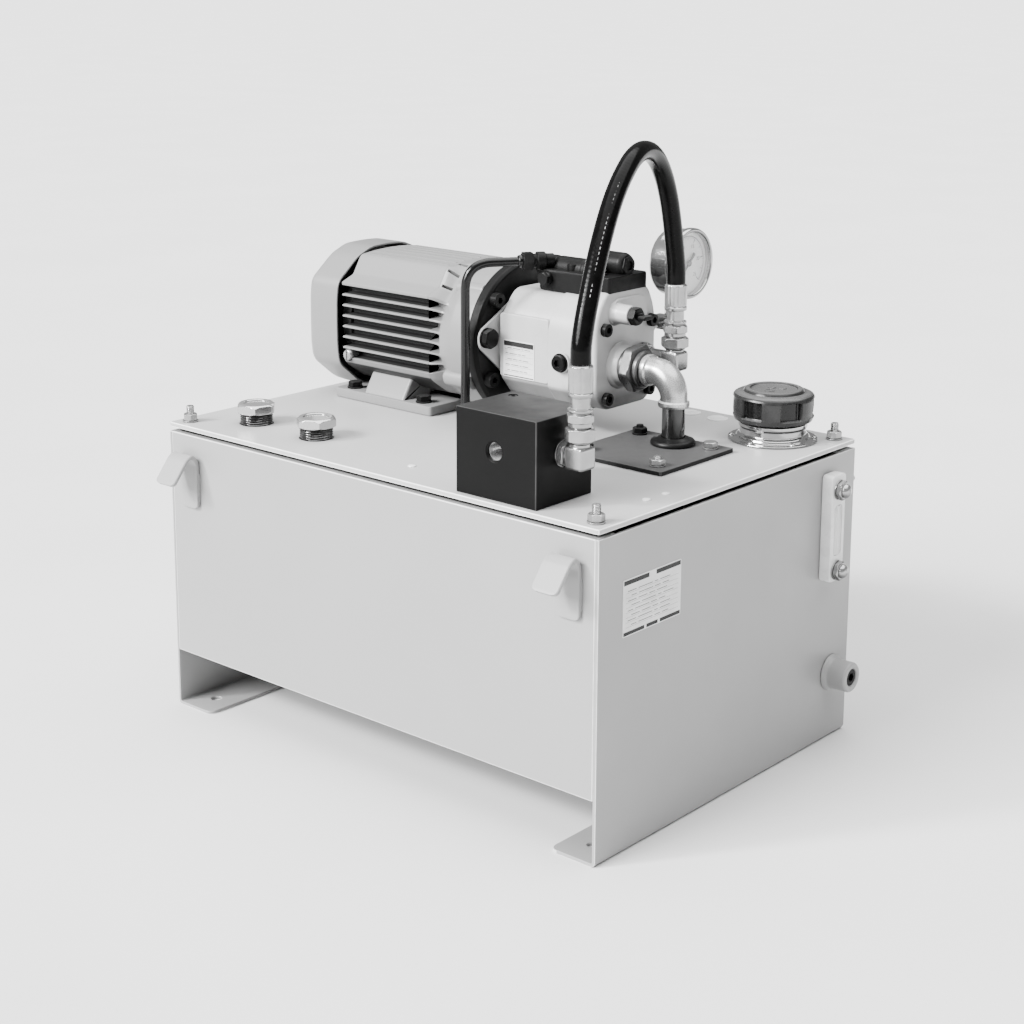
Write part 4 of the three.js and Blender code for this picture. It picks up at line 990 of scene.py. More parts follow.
x, y = SUCTION.x, SUCTION.y
seat = plate_top + 0.2
fine("suction_pipe_grommet", [turned("z", (x, y, seat), [
    (11.1, -6), (13.5, -6), (13.5, 0), (21.6, 0), (21.8, 2.4), (20.2, 4.9), (17.5, 5.6), (15.5, 6.4),
    (13.4, 7.6), (11.1, 7.4), (11.1, -6)], 96, 1.2, 3)], RUBBER)
low, high = ends("suction_pipe")
fine("suction_pipe", [turned("z", (x, y, 0),
                             [(8.4, low.z), (11, low.z), (11, high.z), (8.4, high.z), (8.4, low.z)], 64,
                             0.3)],
     PIPE)
low, high = ends("suction_elbow")
ez, left_x, foot = middle("suction_union_nut").z, low.x, low.z
bend = 22  # the elbow's middle radius
elbow_path = [(x, y, foot), (x, y, foot + 2.2), (x, y, foot + 4.8), (x, y, foot + 6.2)]
for k in range(15):
    t = math.pi / 2 * k / 14
    elbow_path.append((x - bend + bend * math.cos(t), y, ez - bend + bend * math.sin(t)))
elbow_path += [(left_x + 6.4, y, ez), (left_x + 5, y, ez), (left_x + 2.2, y, ez), (left_x, y, ez)]
elbow_radii = [14.6, 15.3, 15.0, 13.2] + [13.0 + 0.7 * math.sin(math.pi * k / 14) for k in range(15)]
elbow_radii += [13.2, 15.0, 15.4, 14.8]
fine("suction_elbow", [swept(elbow_path, elbow_radii, 64)], BRIGHT)

low, high = ends("suction_union_nut")
span = high.x - low.x
fine("suction_union_nut", [
    turned("x", (low.x, y, ez), [(9, 0), (19.4, 0), (19.4, 3), (16.5, 3.4), (16.5, span), (9, span),
                                 (9, 0)], 80, 0.8),
    hex_bar("x", (low.x + 3.2, y, ez), 42, span - 8.5, 0.12),
    turned("x", (high.x - 5.6, y, ez), [(9, 0), (17.8, 0), (17.8, 4.4), (16, 5.6), (9, 5.6), (9, 0)], 80,
           0.8),
], PHOSPHATE)
low, high = ends("suction_strainer")
fine("suction_strainer", [turned("z", (x, y, low.z), [
    (0, 0), (32, 0), (34, 2), (34, 8), (31, 9), (31, 48), (34, 49), (34, 56), (16, 60), (0, 60)], 64, 0.8)],
     GAUZE)

# ---------- filler breather ----------

cap = middle("filler_cap")
low, high = ends("filler_cap")
cx, cy, base, top = cap.x, cap.y, low.z, high.z
low, high = ends("filler_neck")
fine("filler_neck", [turned("z", (cx, cy, 0), [
    (27, low.z), (43.5, low.z), (43.5, low.z + 1.8), (39, low.z + 2.4), (36, low.z + 2.6), (35, low.z + 5),
    (32, low.z + 6.6),
    (32, high.z - 5), (33.4, high.z - 3.6), (33.4, high.z), (27, high.z), (27, low.z)], 128, 0.9, 3)], CHROME)
SCREW_CIRCLE = 39.6
for i in range(6):
    t = TAU * (i + 0.15) / 6 - 0.65
    fx, fy = cx + SCREW_CIRCLE * math.cos(t), cy + SCREW_CIRCLE * math.sin(t)
    head = turned("z", (fx, fy, low.z + 1.9), [(0, -1), (3.2, -1), (3.2, 0.4), (2.4, 1.9), (0, 2.3)], 40,
                  0.8, 3)
    piece(f"filler_flange_screw_{i + 1}", [head], ZINC, tools=[
        block(fx - 4, fx + 4, fy - 0.4, fy + 0.4, low.z + 3.2, low.z + 6, 0.01)])
low, high = ends("filler_cap_seal")
fine("filler_cap_seal", [collar("z", (cx, cy, low.z), 27.5, 31.5, 1.5, 0.5, 96)],
     RUBBER)


def lobe(t):
    """1 on the six grip lobes and 0 in the pockets between them, with steep flanks."""
    phase = ((t / TAU * 6) + 0.5) % 1 - 0.5
    return min(1.0, max(0.0, (0.235 - abs(phase)) / 0.035 + 0.5))


def cap_row(height, outer, pocket):
    return (height, lambda t: outer - pocket * (1 - lobe(t)))


tall = top - base
cap_rows = [(16, 0.01), (16, 24.5), (15.5, 25), (0.4, 25), (0, 25.4), (0, 36.6), (0.5, 37.6), (3.6, 38.9),
            (4.4, 39.1)]
cap_rows += [cap_row(4.8, 39.2, 1.2), cap_row(5.3, 39.3, 4.6), cap_row(6, 39.5, 5.2), cap_row(12, 40, 5.6),
             cap_row(tall - 9.6, 39.8, 5.4), cap_row(tall - 8.8, 39.7, 4.6), cap_row(tall - 8.2, 39.5, 1.2)]
cap_rows += [(tall - 7.8, 39.4), (tall - 6.4, 39.0), (tall - 5.0, 37.8), (tall - 4.0, 35.8),
             (tall - 3.4, 33.2),
             (tall - 3.3, 31.0), (tall - 3.1, 29.6), (tall - 0.9, 28.4), (tall - 0.2, 27.4), (tall, 26),
             (tall, 24.2), (tall - 0.3, 23.2), (tall - 1.5, 22.4), (tall - 1.8, 21.4), (tall - 1.8, 0.01)]
fine("filler_cap", [radial("z", (cx, cy, base), cap_rows, 360)], CAP, smooth=40)
relief = [block(cx + dx - 3.4, cx + dx + 3.4, cy + 3 + dy, cy + 9 + dy, top - 2.2, top - 1.3, 0.4, 1.2)
          for dx, dy in ((-5, -2), (5, 1))]
relief.append(collar("z", (cx, cy - 8, top - 2.2), 3.4, 5, 0.8, 0.2, 48))
piece("filler_cap_relief", relief, CAP, body="cap")
low, high = ends("filler_strainer")
fine("filler_strainer", [turned("z", (cx, cy, 0), [
    (23.5, high.z), (25.5, high.z), (25.5, 190), (23, 187), (0, 187), (0, 188.5), (22.5, 188.5), (23.5, 191),
    (23.5, high.z)], 72, 0.4)], GAUZE)

# ---------- motor ----------

shaft = middle("rotor_shaft")
ay, az = shaft.y, shaft.z  # the axis that the motor and the pump share
frame_start, frame_end = 54.0, 178.0
FIN_PITCH = 11.2


def frame_outline():
    """The finned section, from the top middle down one side, mirrored on the other."""
    half, radii = [(0, 73), (20, 72.4), (44, 70), (56, 50.5), (72.4, 44.2)], [0, 6, 4, 2, 1]
    for fin in range(7):
        gap_top = 40.8 - FIN_PITCH * fin
        gap_low = gap_top - FIN_PITCH + 2
        half += [(72.2, gap_top), (57.5, gap_top - 1.2), (57.5, gap_low + 1.2), (72.2, gap_low)]
        radii += [0.7, 1.6, 1.6, 0.7]
    half += [(67, -44), (40, -62), (0, -64)]
    radii += [4, 8, 0]
    front = [(-u, v) for u, v in half]
    back = [(u, v) for u, v in half[1:-1]][::-1]
    return rounded(front + back, radii + radii[1:-1][::-1], 3)


foot_low = LID_TOP + 0.3
feet, webs = [], []
for side in (-1, 1):
    near, far = sorted((ay + side * 74, ay + side * 24))
    feet.append(block(43, 182, near, far, foot_low, foot_low + 10, 1.6, 4))
    web = [(side * 72.5, foot_low - az + 8), (side * 70, foot_low - az + 13), (side * 55, -43),
           (side * 30, -48), (side * 30, foot_low - az + 8)]
    webs.append(prism("x", (84, ay, az), rounded(web, 4, 4), 58, 3, 3))
piece("motor_frame_webs", webs, MOTOR)
bolt_nodes = ["motor_bolt_front_rear_end", "motor_bolt_front_drive_end", "motor_bolt_back_rear_end",
              "motor_bolt_back_drive_end"]
bolts = {n: middle(n) for n in bolt_nodes}
pads = [rod("z", (p.x, p.y, foot_low + 9), 11, 1.2, 0.5, 48)
        for p in bolts.values()]
fine("motor_frame", [
    prism("x", (frame_start, ay, az), frame_outline(), frame_end - frame_start, 1.0, 2),
    turned("x", (frame_start - 12, ay, az), [(0, 0), (60, 0), (62, 2), (62, 14), (0, 14)], 96, 1.0), *feet,
    *pads,
], FINNED)
cover_screws = []
for side in (-1, 1):
    head = [(0, 0), (6.6, 0), (6.6, side * 10), (5.4, side * 12.4), (0, side * 12.8)]
    cover_screws.append(turned("y", (62, ay + side * 62, az - 33), head, 48, 0.8))
piece("motor_cover_screw_boss", cover_screws, ZINC,
      tools=[block(60.9, 63.1, ay - 78, ay - 73.6, az - 38, az - 28, 0.01)])
ridges = []
for k in range(6):
    offset = -38 + 12 * k
    crest = 73.5 - 0.0016 * offset ** 2
    rib = [(offset - 1, 69), (offset + 1, 69), (offset + 0.8, crest), (offset - 0.8, crest)]
    ridges.append(prism("x", (frame_start + 3, ay, az), rounded(rib, 0.3, 2), frame_end - frame_start - 6,
                        0.6))
piece("motor_top_ribs", ridges, MOTOR)
low, high = ends("stator_core")
fine("stator_core", [collar("x", (low.x, ay, az), 40, 53.6, 78, 0.5, 96)], STEEL)

cover_low, cover_high = ends("fan_cover")


def cover_outline(shrink, steps=5):
    quarter = [(77, 0), (76.6, 26), (74, 44), (45, 67.5), (24, 76), (0, 77)]
    ring = quarter[:-1] + [(-u, v) for u, v in quarter[::-1][:-1]]
    ring += [(-u, -v) for u, v in quarter[:-1]] + [(u, -v) for u, v in quarter[::-1][:-1]]
    ring = rounded(ring, 7, steps)
    return [p * (1 - shrink / p.length) for p in ring]


def cover_loop(x_at, shrink):
    return [placed("x", (x_at, ay, az), p.x, p.y, 0) for p in cover_outline(shrink)]


x0, x1 = cover_low.x, cover_high.x
skin = [(x0 + 2, 40), (x0 + 2, 9.0), (x0 + 2.6, 5.4), (x0 + 4.2, 3.2), (x0 + 7, 2.1), (x1 - 0.3, 2),
        (x1, 1.8), (x1, 0.2),
        (x1 - 0.4, 0), (x0 + 9, 0), (x0 + 5.4, 0.8), (x0 + 2.6, 2.8), (x0 + 0.7, 6), (x0, 9.6), (x0, 40)]
rings = [[placed("x", (x0 + 2, ay, az), p.x * 0.02, p.y * 0.02, 0) for p in cover_outline(0)]]
rings += [cover_loop(h, s) for h, s in skin]
rings += [[placed("x", (x0, ay, az), p.x * 0.02, p.y * 0.02, 0) for p in cover_outline(0)]]
slots = []
for row in range(-4, 5):
    v = row * 7.6
    reach = math.sqrt(36 ** 2 - v ** 2)
    for side in (-1, 1):
        u0, u1 = sorted((side * 5, side * reach))
        if u1 - u0 > 8:
            slots.append(prism("x", (x0 - 2, ay, az), rectangle(u0, u1, v - 1.8, v + 1.8, 1.7, 4), 6, 0))
fine("fan_cover", [loft(rings)], MOTOR, tools=slots)

low, high = ends("motor_end_bracket")
bracket_x, bracket_face = low.x, high.x


def bracket_angle(p):
    """The direction of a point of the frame's outline, with the fin gaps taken as filled."""
    u = math.copysign(72.3, p.x) if abs(p.y) < 42.5 and abs(p.x) > 50 else p.x
    return math.atan2(p.y, u)


def bracket_loop(forward, filled, ring):
    """The finned outline, closing up its gaps (filled 0-1) and growing into a ring (ring 0-1)."""
    loop = []
    for p in frame_outline():
        t = bracket_angle(p)
        c, v = abs(math.cos(t)), math.sin(t)
        boxy = min(72.4 / max(c, 1e-6), (72.6 if v > 0 else 63) / max(abs(v), 1e-6), 83 / (c + abs(v) * 0.8))
        reach = boxy * (1 - ring) + 78 * ring
        shell = Vector((math.cos(t), math.sin(t))) * reach
        found = p * (1 - filled) + shell * filled
        loop.append(placed("x", (bracket_x + forward, ay, az), found.x, found.y, 0))
    return loop


def bracket_ring(forward, radius):
    angles = [bracket_angle(p) for p in frame_outline()]
    return [placed("x", (bracket_x + forward, ay, az), radius * math.cos(t), radius * math.sin(t), 0)
            for t in angles]


depth = bracket_face - bracket_x
cone = [bracket_loop(*station) for station in (
    (0, 0, 0), (4, 0.08, 0.06), (8, 0.3, 0.15), (12, 0.62, 0.27), (15, 0.85, 0.38), (18, 1, 0.5),
    (22, 1, 0.67), (26, 1, 0.82), (31, 1, 0.95), (35, 1, 1), (depth - 1.4, 1, 1))]
cone += [bracket_ring(depth - 0.4, 77.6), bracket_ring(depth, 76.8), bracket_ring(depth, 11),
         bracket_ring(depth - 10, 11), bracket_ring(depth - 10, 50), bracket_ring(0, 50)]
bosses = []
for side in (-1, 1):
    bosses += [rod("x", (200, ay + side * 66, az - 36), 9, bracket_face - 200.5, 2, 48),
               rod("x", (196.5, ay + side * 66, az - 36), 5.2, 6, 0.8, 36),
               rod("x", (200, ay + side * 48, az + 52), 8, bracket_face - 200.5, 2, 48)]
notches = []
for degrees in (-46, -34, -22, 22, 34, 46):
    t = math.radians(degrees)
    ring = [(u * math.cos(t) + v * math.sin(t), -u * math.sin(t) + v * math.cos(t))
            for u, v in ((-1.6, 62), (1.6, 62), (1.6, 90), (-1.6, 90))]
    notches.append(prism("x", (bracket_x + 2, ay, az), [Vector(p) for p in ring], 12, 0))
fine("motor_end_bracket", [loft(cone, closed=True)], MOTOR, tools=notches)
piece("motor_bracket_lugs", bosses, MOTOR)

low, high = ends("rotor_shaft")
fine("rotor_shaft", [turned("x", (0, ay, az), [
    (0, 12), (7, 12), (7, 44), (9.5, 44), (9.5, 76), (39, 80), (39, 154), (9.5, 158), (9.5, 300), (0, 300)],
                            80, 0.6)], STEEL)
blades = []
for i in range(7):
    t = TAU * i / 7
    loops = []
    for r in (12, 30, 48, 62, 67):
        lean = 0.0035 * (r - 12)
        loop = []
        for w, n in ((-9, -1.2), (9, -1.2), (9, 1.2), (-9, 1.2)):
            w *= 1 - 0.18 * (r > 60)
            c, s = math.cos(t + lean), math.sin(t + lean)
            loop.append(Vector((28 + w, ay + r * c - n * s, az + r * s + n * c)))
        loops.append(loop)
    blades.append(loft(loops))
fine("cooling_fan", [
    collar("x", (18, ay, az), 7.2, 14, 20, 0.8, 48),
    collar("x", (36.6, ay, az), 12, 66, 1.6, 0.4, 96), *blades],
     PLASTIC)
for node, p in bolts.items():
    low, high = ends(node)
    seat_z = foot_low + 10.2
    fine(node, [rod("z", (p.x, p.y, low.z), 3.9, seat_z - low.z + 1, 0.3, 24)] + nut_stack(
        p.x, p.y, seat_z, 13, high.z - seat_z - 1.6, 8.4, (), 0.3 + p.x * 0.01), OXIDE)

# ---------- pump ----------

low, high = ends("pump_mounting_flange")
flange_x, flange_face = low.x, high.x
FLANGE_BOLTS = ((-60, -33), (60, -33), (-52, 46), (52, 46))
flange_bolts = []
for u, v in FLANGE_BOLTS:
    flange_bolts.append(rod("x", (flange_face - 0.3, ay + u, az + v), 7.6, 8, 0.9, 40))
fine("pump_mounting_flange", [turned("x", (flange_x, ay, az), [
    (12, 0), (78.4, 0), (79, 1), (79, flange_face - flange_x - 3), (76, flange_face - flange_x),
    (12, flange_face - flange_x), (12, 0)], 128, 1.0,
                                     3), *flange_bolts],
    CASTING, tools=[prism("x", (flange_face + 3.5, ay + u, az + v), hexagon(6), 6, 0) for u,
                    v in FLANGE_BOLTS])

low, high = ends("pump_body")
body_x, body_face = low.x, high.x
body = rounded([(-52, -30), (-34, -52), (34, -52), (52, -30), (52, 33), (30, 57), (-30, 57), (-52, 33)],
               [4, 9, 9, 4, 12, 8, 8, 12], 5)
wide = [(Vector(p) * 1.03) for p in body]
ears = rounded([(-79, 18), (-79, 2), (-30, -40), (30, -40), (79, 2), (79, 18), (22, 48), (-22, 48)],
               [9, 9, 8, 8, 9, 9, 8, 8], 5)
fine("pump_body", [
    rod("x", (body_x, ay, az), 50, 14, 1, 96), prism("x", (body_x, ay, az), ears, 3.4, 1.2, 3),
    prism("x", (body_x + 6, ay, az), body, body_face - body_x - 6, 3.2, 4),
    prism("x", (body_x + 68, ay, az), wide, body_face - body_x - 68.3, 2.2, 3),
    prism("y", (0, ay - 53.4, 0), rectangle(257.5, 320, 351, 415, 4, 4), 6, 1.2, 3),
    prism("x", (body_x + 26, ay, az), rounded([(-50, 30), (-26, 57), (-18, 52), (-40, 20)], 4, 3), 9, 2, 3),
    rod("y", (body_x + 87.7, ay - 57, 376), 10.5, 8, 1.0),
], PUMP)
for i, side in enumerate((-1, 1)):
    piece(f"pump_ear_bolt_{i + 1}", [
        rod("x", (body_x + 3.4, ay + side * 69.5, az + 11), 10.2, 1.8, 0.4, 48),
        hex_bar("x", (body_x + 5.2, ay + side * 69.5, az + 11), 18, 7.4, 0.3)], OXIDE)
piece("pump_case_plug", [rod("y", (body_x + 87.7, ay - 62, 376), 7.8, 6, 1.2),
      rod("y", (body_x + 87.7, ay - 58.2, 376), 9.4, 1.4, 0.4, 48)], OXIDE,
      tools=[prism("y", (body_x + 87.7, ay - 63, 376), hexagon(7), 4, 0)])
nameplate("pump_nameplate", lambda u, v, w: Vector((262.5 + u, ay - 53.42 - w, 352 + v)), 40, 37,
          [(1, 39, 31, 36), (1, 39, 1, 2)])

low, high = ends("pump_end_cover")
cover_back, cover_face = low.x, ends("pump_body")[1].x + 23.0
cover = rounded([(-49, -30), (-34, -50), (34, -50), (45, -30), (45, 40), (32, 66), (-32, 66), (-49, 40)],
                [10, 9, 9, 10, 14, 9, 9, 14], 5)
screw = middle("pressure_adjusting_screw")
outlet = middle("hose_end_pump")
cover_bolts = [(-36, 30), (36, 30), (-33, -38), (33, -38)]
parts = [prism("x", (cover_back, ay, az), cover, cover_face - cover_back, 3.4, 4),
         turned("x", (cover_face - 1, SUCTION.y, ez),
                [(0, 0), (24, 0), (22.6, 3), (20, 4.6), (18.6, 10.8), (0, 10.8)], 80, 1.4, 3),
         turned("x", (cover_face - 1, screw.y, screw.z),
                [(0, 0), (13, 0), (11, 3), (9.6, 8), (9.5, 21), (0, 21)],
                64, 1.4, 3),
         turned("x", (cover_face - 1, outlet.y, 377), [(0, 0), (15, 0), (14, 1), (0, 1.1)], 64, 0.4),
         prism("x", (cover_face - 2, ay, az), rounded([(-30, 34), (30, 34), (24, 58), (-24, 58)], 8, 5), 5,
               1.8, 3)]
fine("pump_end_cover", parts, PUMP, tools=[rod("x", (cover_face + 9.8, SUCTION.y, ez), 9, 4, 0, 40)])
for i, (u, v) in enumerate(cover_bolts):
    piece(f"pump_cover_bolt_{i + 1}", [rod("x", (cover_face - 3, ay + u, az + v), 6.4, 8.5, 1.0, 40)], OXIDE,
          tools=[prism("x", (cover_face + 2.6, ay + u, az + v), hexagon(6), 5, 0)])

low, high = ends("cylinder_barrel")
pistons = []
for i in range(7):
    t = TAU * i / 7
    pistons.append(rod("x", (282, ay + 22 * math.cos(t), az + 22 * math.sin(t)), 5.4, 24, 1, 32))
barrel = collar("x", (302, ay, az), 9.8, 34, 34, 0.8, 96)
fine("cylinder_barrel", [barrel] + pistons, STEEL)

# the control valve on top of the pump, and its case drain tube
DRAIN_AT = Vector((275, 221, 466))
DRAIN_FOOT = Vector((*DRAIN_HOLE, 466))
direction = (DRAIN_FOOT - DRAIN_AT).normalized()
valve = [
    block(284, 345, ay - 27, ay + 27, az + 57.4, az + 79, 2.4, 5),
    turned("x", (270, ay - 6, az + 78), [(0, 0), (9, 0), (9, 3), (12, 4), (12, 22), (10.8, 23), (10.8, 26),
                                         (12, 27), (12, 58), (11, 60),
                                        (11, 64), (12, 65), (12, 84), (0, 84)], 64, 0.8),
    block(340, 375, ay - 30, ay + 30, az + 62.4, az + 79, 1.6, 3),
    turned("x", (342, ay + 4, az + 87), [(0, 0), (12, 0), (12, 25), (10, 29), (0, 29)], 64, 1.4, 3),
    hex_bar("x", (370.4, ay + 4, az + 87), 17, 2.8, 0.2),
    hex_bar(direction, DRAIN_AT - direction * 11, 17, 11),
    turned(direction, DRAIN_AT - direction * 32,
           [(0, 0), (7, 0), (7, 8), (9, 9), (9, 17), (7, 18), (7, 22), (0, 22)], 40, 0.6),
    rod("y", (296, ay - 31, az + 70), 7, 8, 1.2), hex_bar("y", (296, ay - 35, az + 70), 12, 5, 0.4),
    rod("z", (318, ay - 14, az + 76), 6, 9, 1.0), rod("z", (357, ay - 18, az + 74), 5, 6.5, 1.0),
    rod("z", (357, ay + 20, az + 74), 5, 6.5, 1.0),
]
fine("control_valve", valve, CASTING, tools=[prism("x", (371.4, ay + 4, az + 87), hexagon(9), 8, 0)])
drain_path = rounded([DRAIN_AT + direction * 0.3, DRAIN_FOOT, Vector((*DRAIN_HOLE, 270))], [0, 36, 0], 20,
                     closed=False)
tube_nut = turned(direction, DRAIN_AT + direction * 0.2, [(0, 0), (6.4, 0), (6.4, 3), (5, 4.2), (0, 4.2)],
                  40, 0.5)
fine("case_drain_tube", [swept(drain_path, 4.5, 32), tube_nut], TUBE)
DRAIN_GROMMET = [(4.6, -2), (5.3, -2), (5.3, 0), (9, 0), (9, 1.6), (7, 3), (4.6, 3.4), (4.6, -2)]
piece("drain_tube_grommet", [turned("z", (*DRAIN_HOLE, LID_TOP), DRAIN_GROMMET, 56, 0.7, 3)], RUBBER)

low, high = ends("pressure_lock_nut")
fine("pressure_lock_nut", [hex_bar("x", (low.x, screw.y, screw.z), 16, high.x - low.x, 0.1, (True, True),
                                   (4.3, 1))], OXIDE)
low, high = ends("pressure_adjusting_screw")
fine("pressure_adjusting_screw", [
    threaded("x", (low.x, screw.y, screw.z), 4, 40.5, 1.25),
    prism("x", (high.x - 9, screw.y, screw.z),
          rounded([(-7, -1.9), (7, -1.9), (7, 1.9), (-7, 1.9)], 1.8, 4), 9, 1.2, 3),
], OXIDE)

# ---------- delivery line ----------

low, high = ends("delivery_block")
bx0, bx1, by0, by1, bz0, bz1 = 385.5, high.x, low.y, high.y, low.z, high.z
port_x, port_z, elbow_y, elbow_z = 429.6, 343.5, 42, 344
# painted highlights along the delivery block's outer edges
mark_edges(fine("delivery_block", [block(bx0, bx1, by0, by1, bz0, bz1, 0.5, 1.0),
     turned("x", (bx0 - 4.5, 24, 352), [(0, 0), (5.4, 0), (6.5, 1.2), (6.5, 6), (0, 6)], 48, 0.4)], OXIDE,
                tools=[
    turned("y", (port_x, by0 - 1, port_z), [(0, 0), (10, 0), (9.4, 1.4), (8, 2.6), (8, 40), (0, 40)], 64, 0),
    rod("x", (bx1 - 20, elbow_y, elbow_z), 8.3, 30, 0, 48),
    prism("x", (bx0 - 5.5, 24, 352), hexagon(5.5), 4, 0),
    *[rod("z", (bx0 + u, by0 + v, bz1 - 6), 4.6, 12, 0, 40) for u, v in ((12, 62), (85, 62))],
]))


def port_thread(height):
    """The thread's radius by angle, at one height in the port."""
    def radius(t):
        return 7.15 + 0.55 * abs(2 * ((height / 1.8 - t / TAU) % 1) - 1)
    return radius


thread_rows = [(k * 0.45, port_thread(k * 0.45)) for k in range(70)] + [(31.5, 7.9), (0, 7.9)]
piece("delivery_port_thread", [radial("y", (port_x, by0 + 3, port_z), thread_rows, 48, closed=True)], STEEL)
for i, (u, v) in enumerate(((12, 62), (85, 62))):
    piece(f"delivery_block_screw_{i + 1}", [rod("z", (bx0 + u, by0 + v, bz1 - 6), 4.2, 5.4, 0.6, 36)],
          OXIDE, tools=[prism("z", (bx0 + u, by0 + v, bz1 - 4), hexagon(4), 6, 0)])
ex = 495
fine("delivery_elbow", [
    rod("x", (bx1 - 14, elbow_y, elbow_z), 8, 20, 0.4),
    rod("x", (bx1 + 0.1, elbow_y, elbow_z), 12.2, 1, 0.3, 56),
    hex_bar("x", (bx1 + 1, elbow_y, elbow_z), 22, 6.4, 0.52),
    rod("x", (bx1 + 6, elbow_y, elbow_z), 8.6, 6, 0.4),
    block(ex - 10, ex + 10, elbow_y - 10, elbow_y + 10, elbow_z - 11, elbow_z + 9, 2.6, 3.4),
    turned("z", (ex, elbow_y, elbow_z + 8), [(0, 0), (9.2, 0), (8.6, 1.4), (8.6, 3.6), (0, 3.6)], 56, 0.4),
], ZINC)


def hose_end(node, x, y, nut_low, collar_low, crimp_low, crimp_top):
    """A tube nut, an upper nut with a ring groove, and a crimped ferrule."""
    def crimp(t):
        return 10.75 - 0.6 * (0.5 + 0.5 * math.cos(8 * t)) ** 8
    rows = [(crimp_low - 2.4, 8.6), (crimp_low - 1.6, 10.6), (crimp_low, 10.9), (crimp_low + 1.4, 10.9),
            (crimp_low + 2.2, 10.2)]
    steps = 6
    for k in range(steps):
        h = crimp_low + 2.8 + (crimp_top - crimp_low - 4.4) * k / (steps - 1)
        rows.append((h, crimp))
    rows += [(crimp_top - 0.8, 10.2), (crimp_top - 0.1, 9.6), (crimp_top, 9.15)]
    half = (collar_low - nut_low)
    fine(node, [
        turned("z", (x, y, 0), [(0, nut_low), (9.8, nut_low), (10.6, nut_low + 1.2), (10.6, nut_low + 2.4),
                                (0, nut_low + 2.4)], 64, 0.4),
        hex_bar("z", (x, y, nut_low + 1.6), 24, half * 0.62, 0.4),
        turned("z", (x, y, nut_low), [(0, half * 0.6), (10.4, half * 0.6), (10.4, half * 0.68),
                                      (8, half * 0.7), (8, half * 0.78),
                                      (10.4, half * 0.78), (10.4, half), (0, half)], 64, 0.4),
        hex_bar("z", (x, y, collar_low - 1), 22, 8, 0.25),
        turned("z", (x, y, collar_low), [(0, 6), (9.4, 6), (9.4, 8), (11, 8.6), (11, 10.6), (9.4, 11.2),
                                         (8.4, 11.6), (8.4, crimp_low - collar_low - 2),
                                         (0, crimp_low - collar_low - 2)], 64, 0.5),
        radial("z", (x, y, 0), rows, 128),
    ], ZINC)


low, high = ends("hose_end_block")
hose_end("hose_end_block", ex, elbow_y, low.z, 375, 398, high.z)
low, high = ends("hose_end_pump")
hx, hy = 414, 286
hose_end("hose_end_pump", hx, hy, low.z, 405, 428, high.z)
oz = 377
fine("pump_outlet_elbow", [
    rod("x", (cover_face - 8, hy, oz), 7, 20, 0.4),
    rod("x", (cover_face + 0.2, hy, oz), 12.4, 1.2, 0.3, 56),
    hex_bar("x", (cover_face + 1.2, hy, oz), 22, 7.2, 0.52),
    turned("x", (cover_face + 7, hy, oz), [(0, 0), (9.4, 0), (9.4, 3), (8, 4.4), (8, 28), (0, 28)], 56, 0.8),
    block(hx - 10, hx + 10, hy - 10, hy + 10, oz - 10, oz + 9.4, 3, 3.6),
    turned("z", (hx, hy, oz + 8), [(0, 0), (9.2, 0), (8.6, 1), (8.6, 2.6), (0, 2.6)], 56, 0.4),
], ZINC)

# ---------- pressure gauge ----------

dial = middle("pressure_gauge_dial")
gx0, gx1 = 369.0, 401.0
gy, gz, radius = dial.y, dial.z, 35.0
stem_x = 377
fine("pressure_gauge_case", [
    turned("x", (0, gy, gz), [
        (0, gx0 + 0.6), (26, gx0 + 0.6), (31, gx0 + 2), (33.2, gx0 + 5), (33.4, gx0 + 9), (33.4, gx1 - 9.5),
        (34.2, gx1 - 8.6),
        (35, gx1 - 7), (35, gx1 - 2), (34, gx1 - 0.2), (32.4, gx1), (31, gx1 - 0.6), (30.8, gx1 - 2),
        (30.8, gx1 - 8), (0, gx1 - 8)], 144, 0.9, 3),
    rod("y", (364, 300, 402), 5, gy - 300, 0.4),
    hex_bar("y", (364, 307.4, 402), 14, 6, 0.2),
    block(356.4, stem_x + 6, gy - 7, gy + 7, 395, 409, 1.8, 2.4),
    turned("z", (stem_x, gy, 405), [(0, 0), (6, 0), (6, 4), (5, 5), (5, 30), (0, 30)], 48, 0.6),
    hex_bar("z", (stem_x, gy, 410.5), 14, 9, 0.3),
    turned("z", (stem_x, gy, 421), [(0, 0), (6.5, 0), (6.5, 2), (5.4, 3), (0, 3)], 48, 0.4),
], CHROME, tools=[rod("x", (gx1 - 12, gy, gz), 1.6, 10, 0, 24)])
face = gx1 - 6.7
fine("pressure_gauge_dial", [collar("x", (face - 1, gy, gz), 1.6, 30.6, 1, 0.2, 128)], DIAL)


def polar(angle, r):
    return gy + r * math.cos(angle), gz + r * math.sin(angle)


marks = []
for k in range(51):
    angle = math.radians(225 - 270 * k / 50)
    inner, wide_mark = (21.4, 0.42) if k % 10 == 0 else ((22.8, 0.28) if k % 5 == 0 else (24.2, 0.16))
    c, s = math.cos(angle), math.sin(angle)
    loops = []
    for w in (0, 0.08):
        loops.append([Vector((face + w, gy + r * c - n * s, gz + r * s + n * c))
                      for r, n in ((inner, -wide_mark), (26.4, -wide_mark), (26.4, wide_mark),
                                   (inner, wide_mark))])
    marks.append(loft(loops))
arc = [math.radians(225 - 270 * k / 90) for k in range(91)]
outer_arc = [polar(t, 26.9) for t in arc] + [polar(t, 26.3) for t in reversed(arc)]
marks.append(loft([[Vector((face + w, p[0], p[1])) for p in outer_arc] for w in (0, 0.08)]))
piece("pressure_gauge_marks", marks, INK)


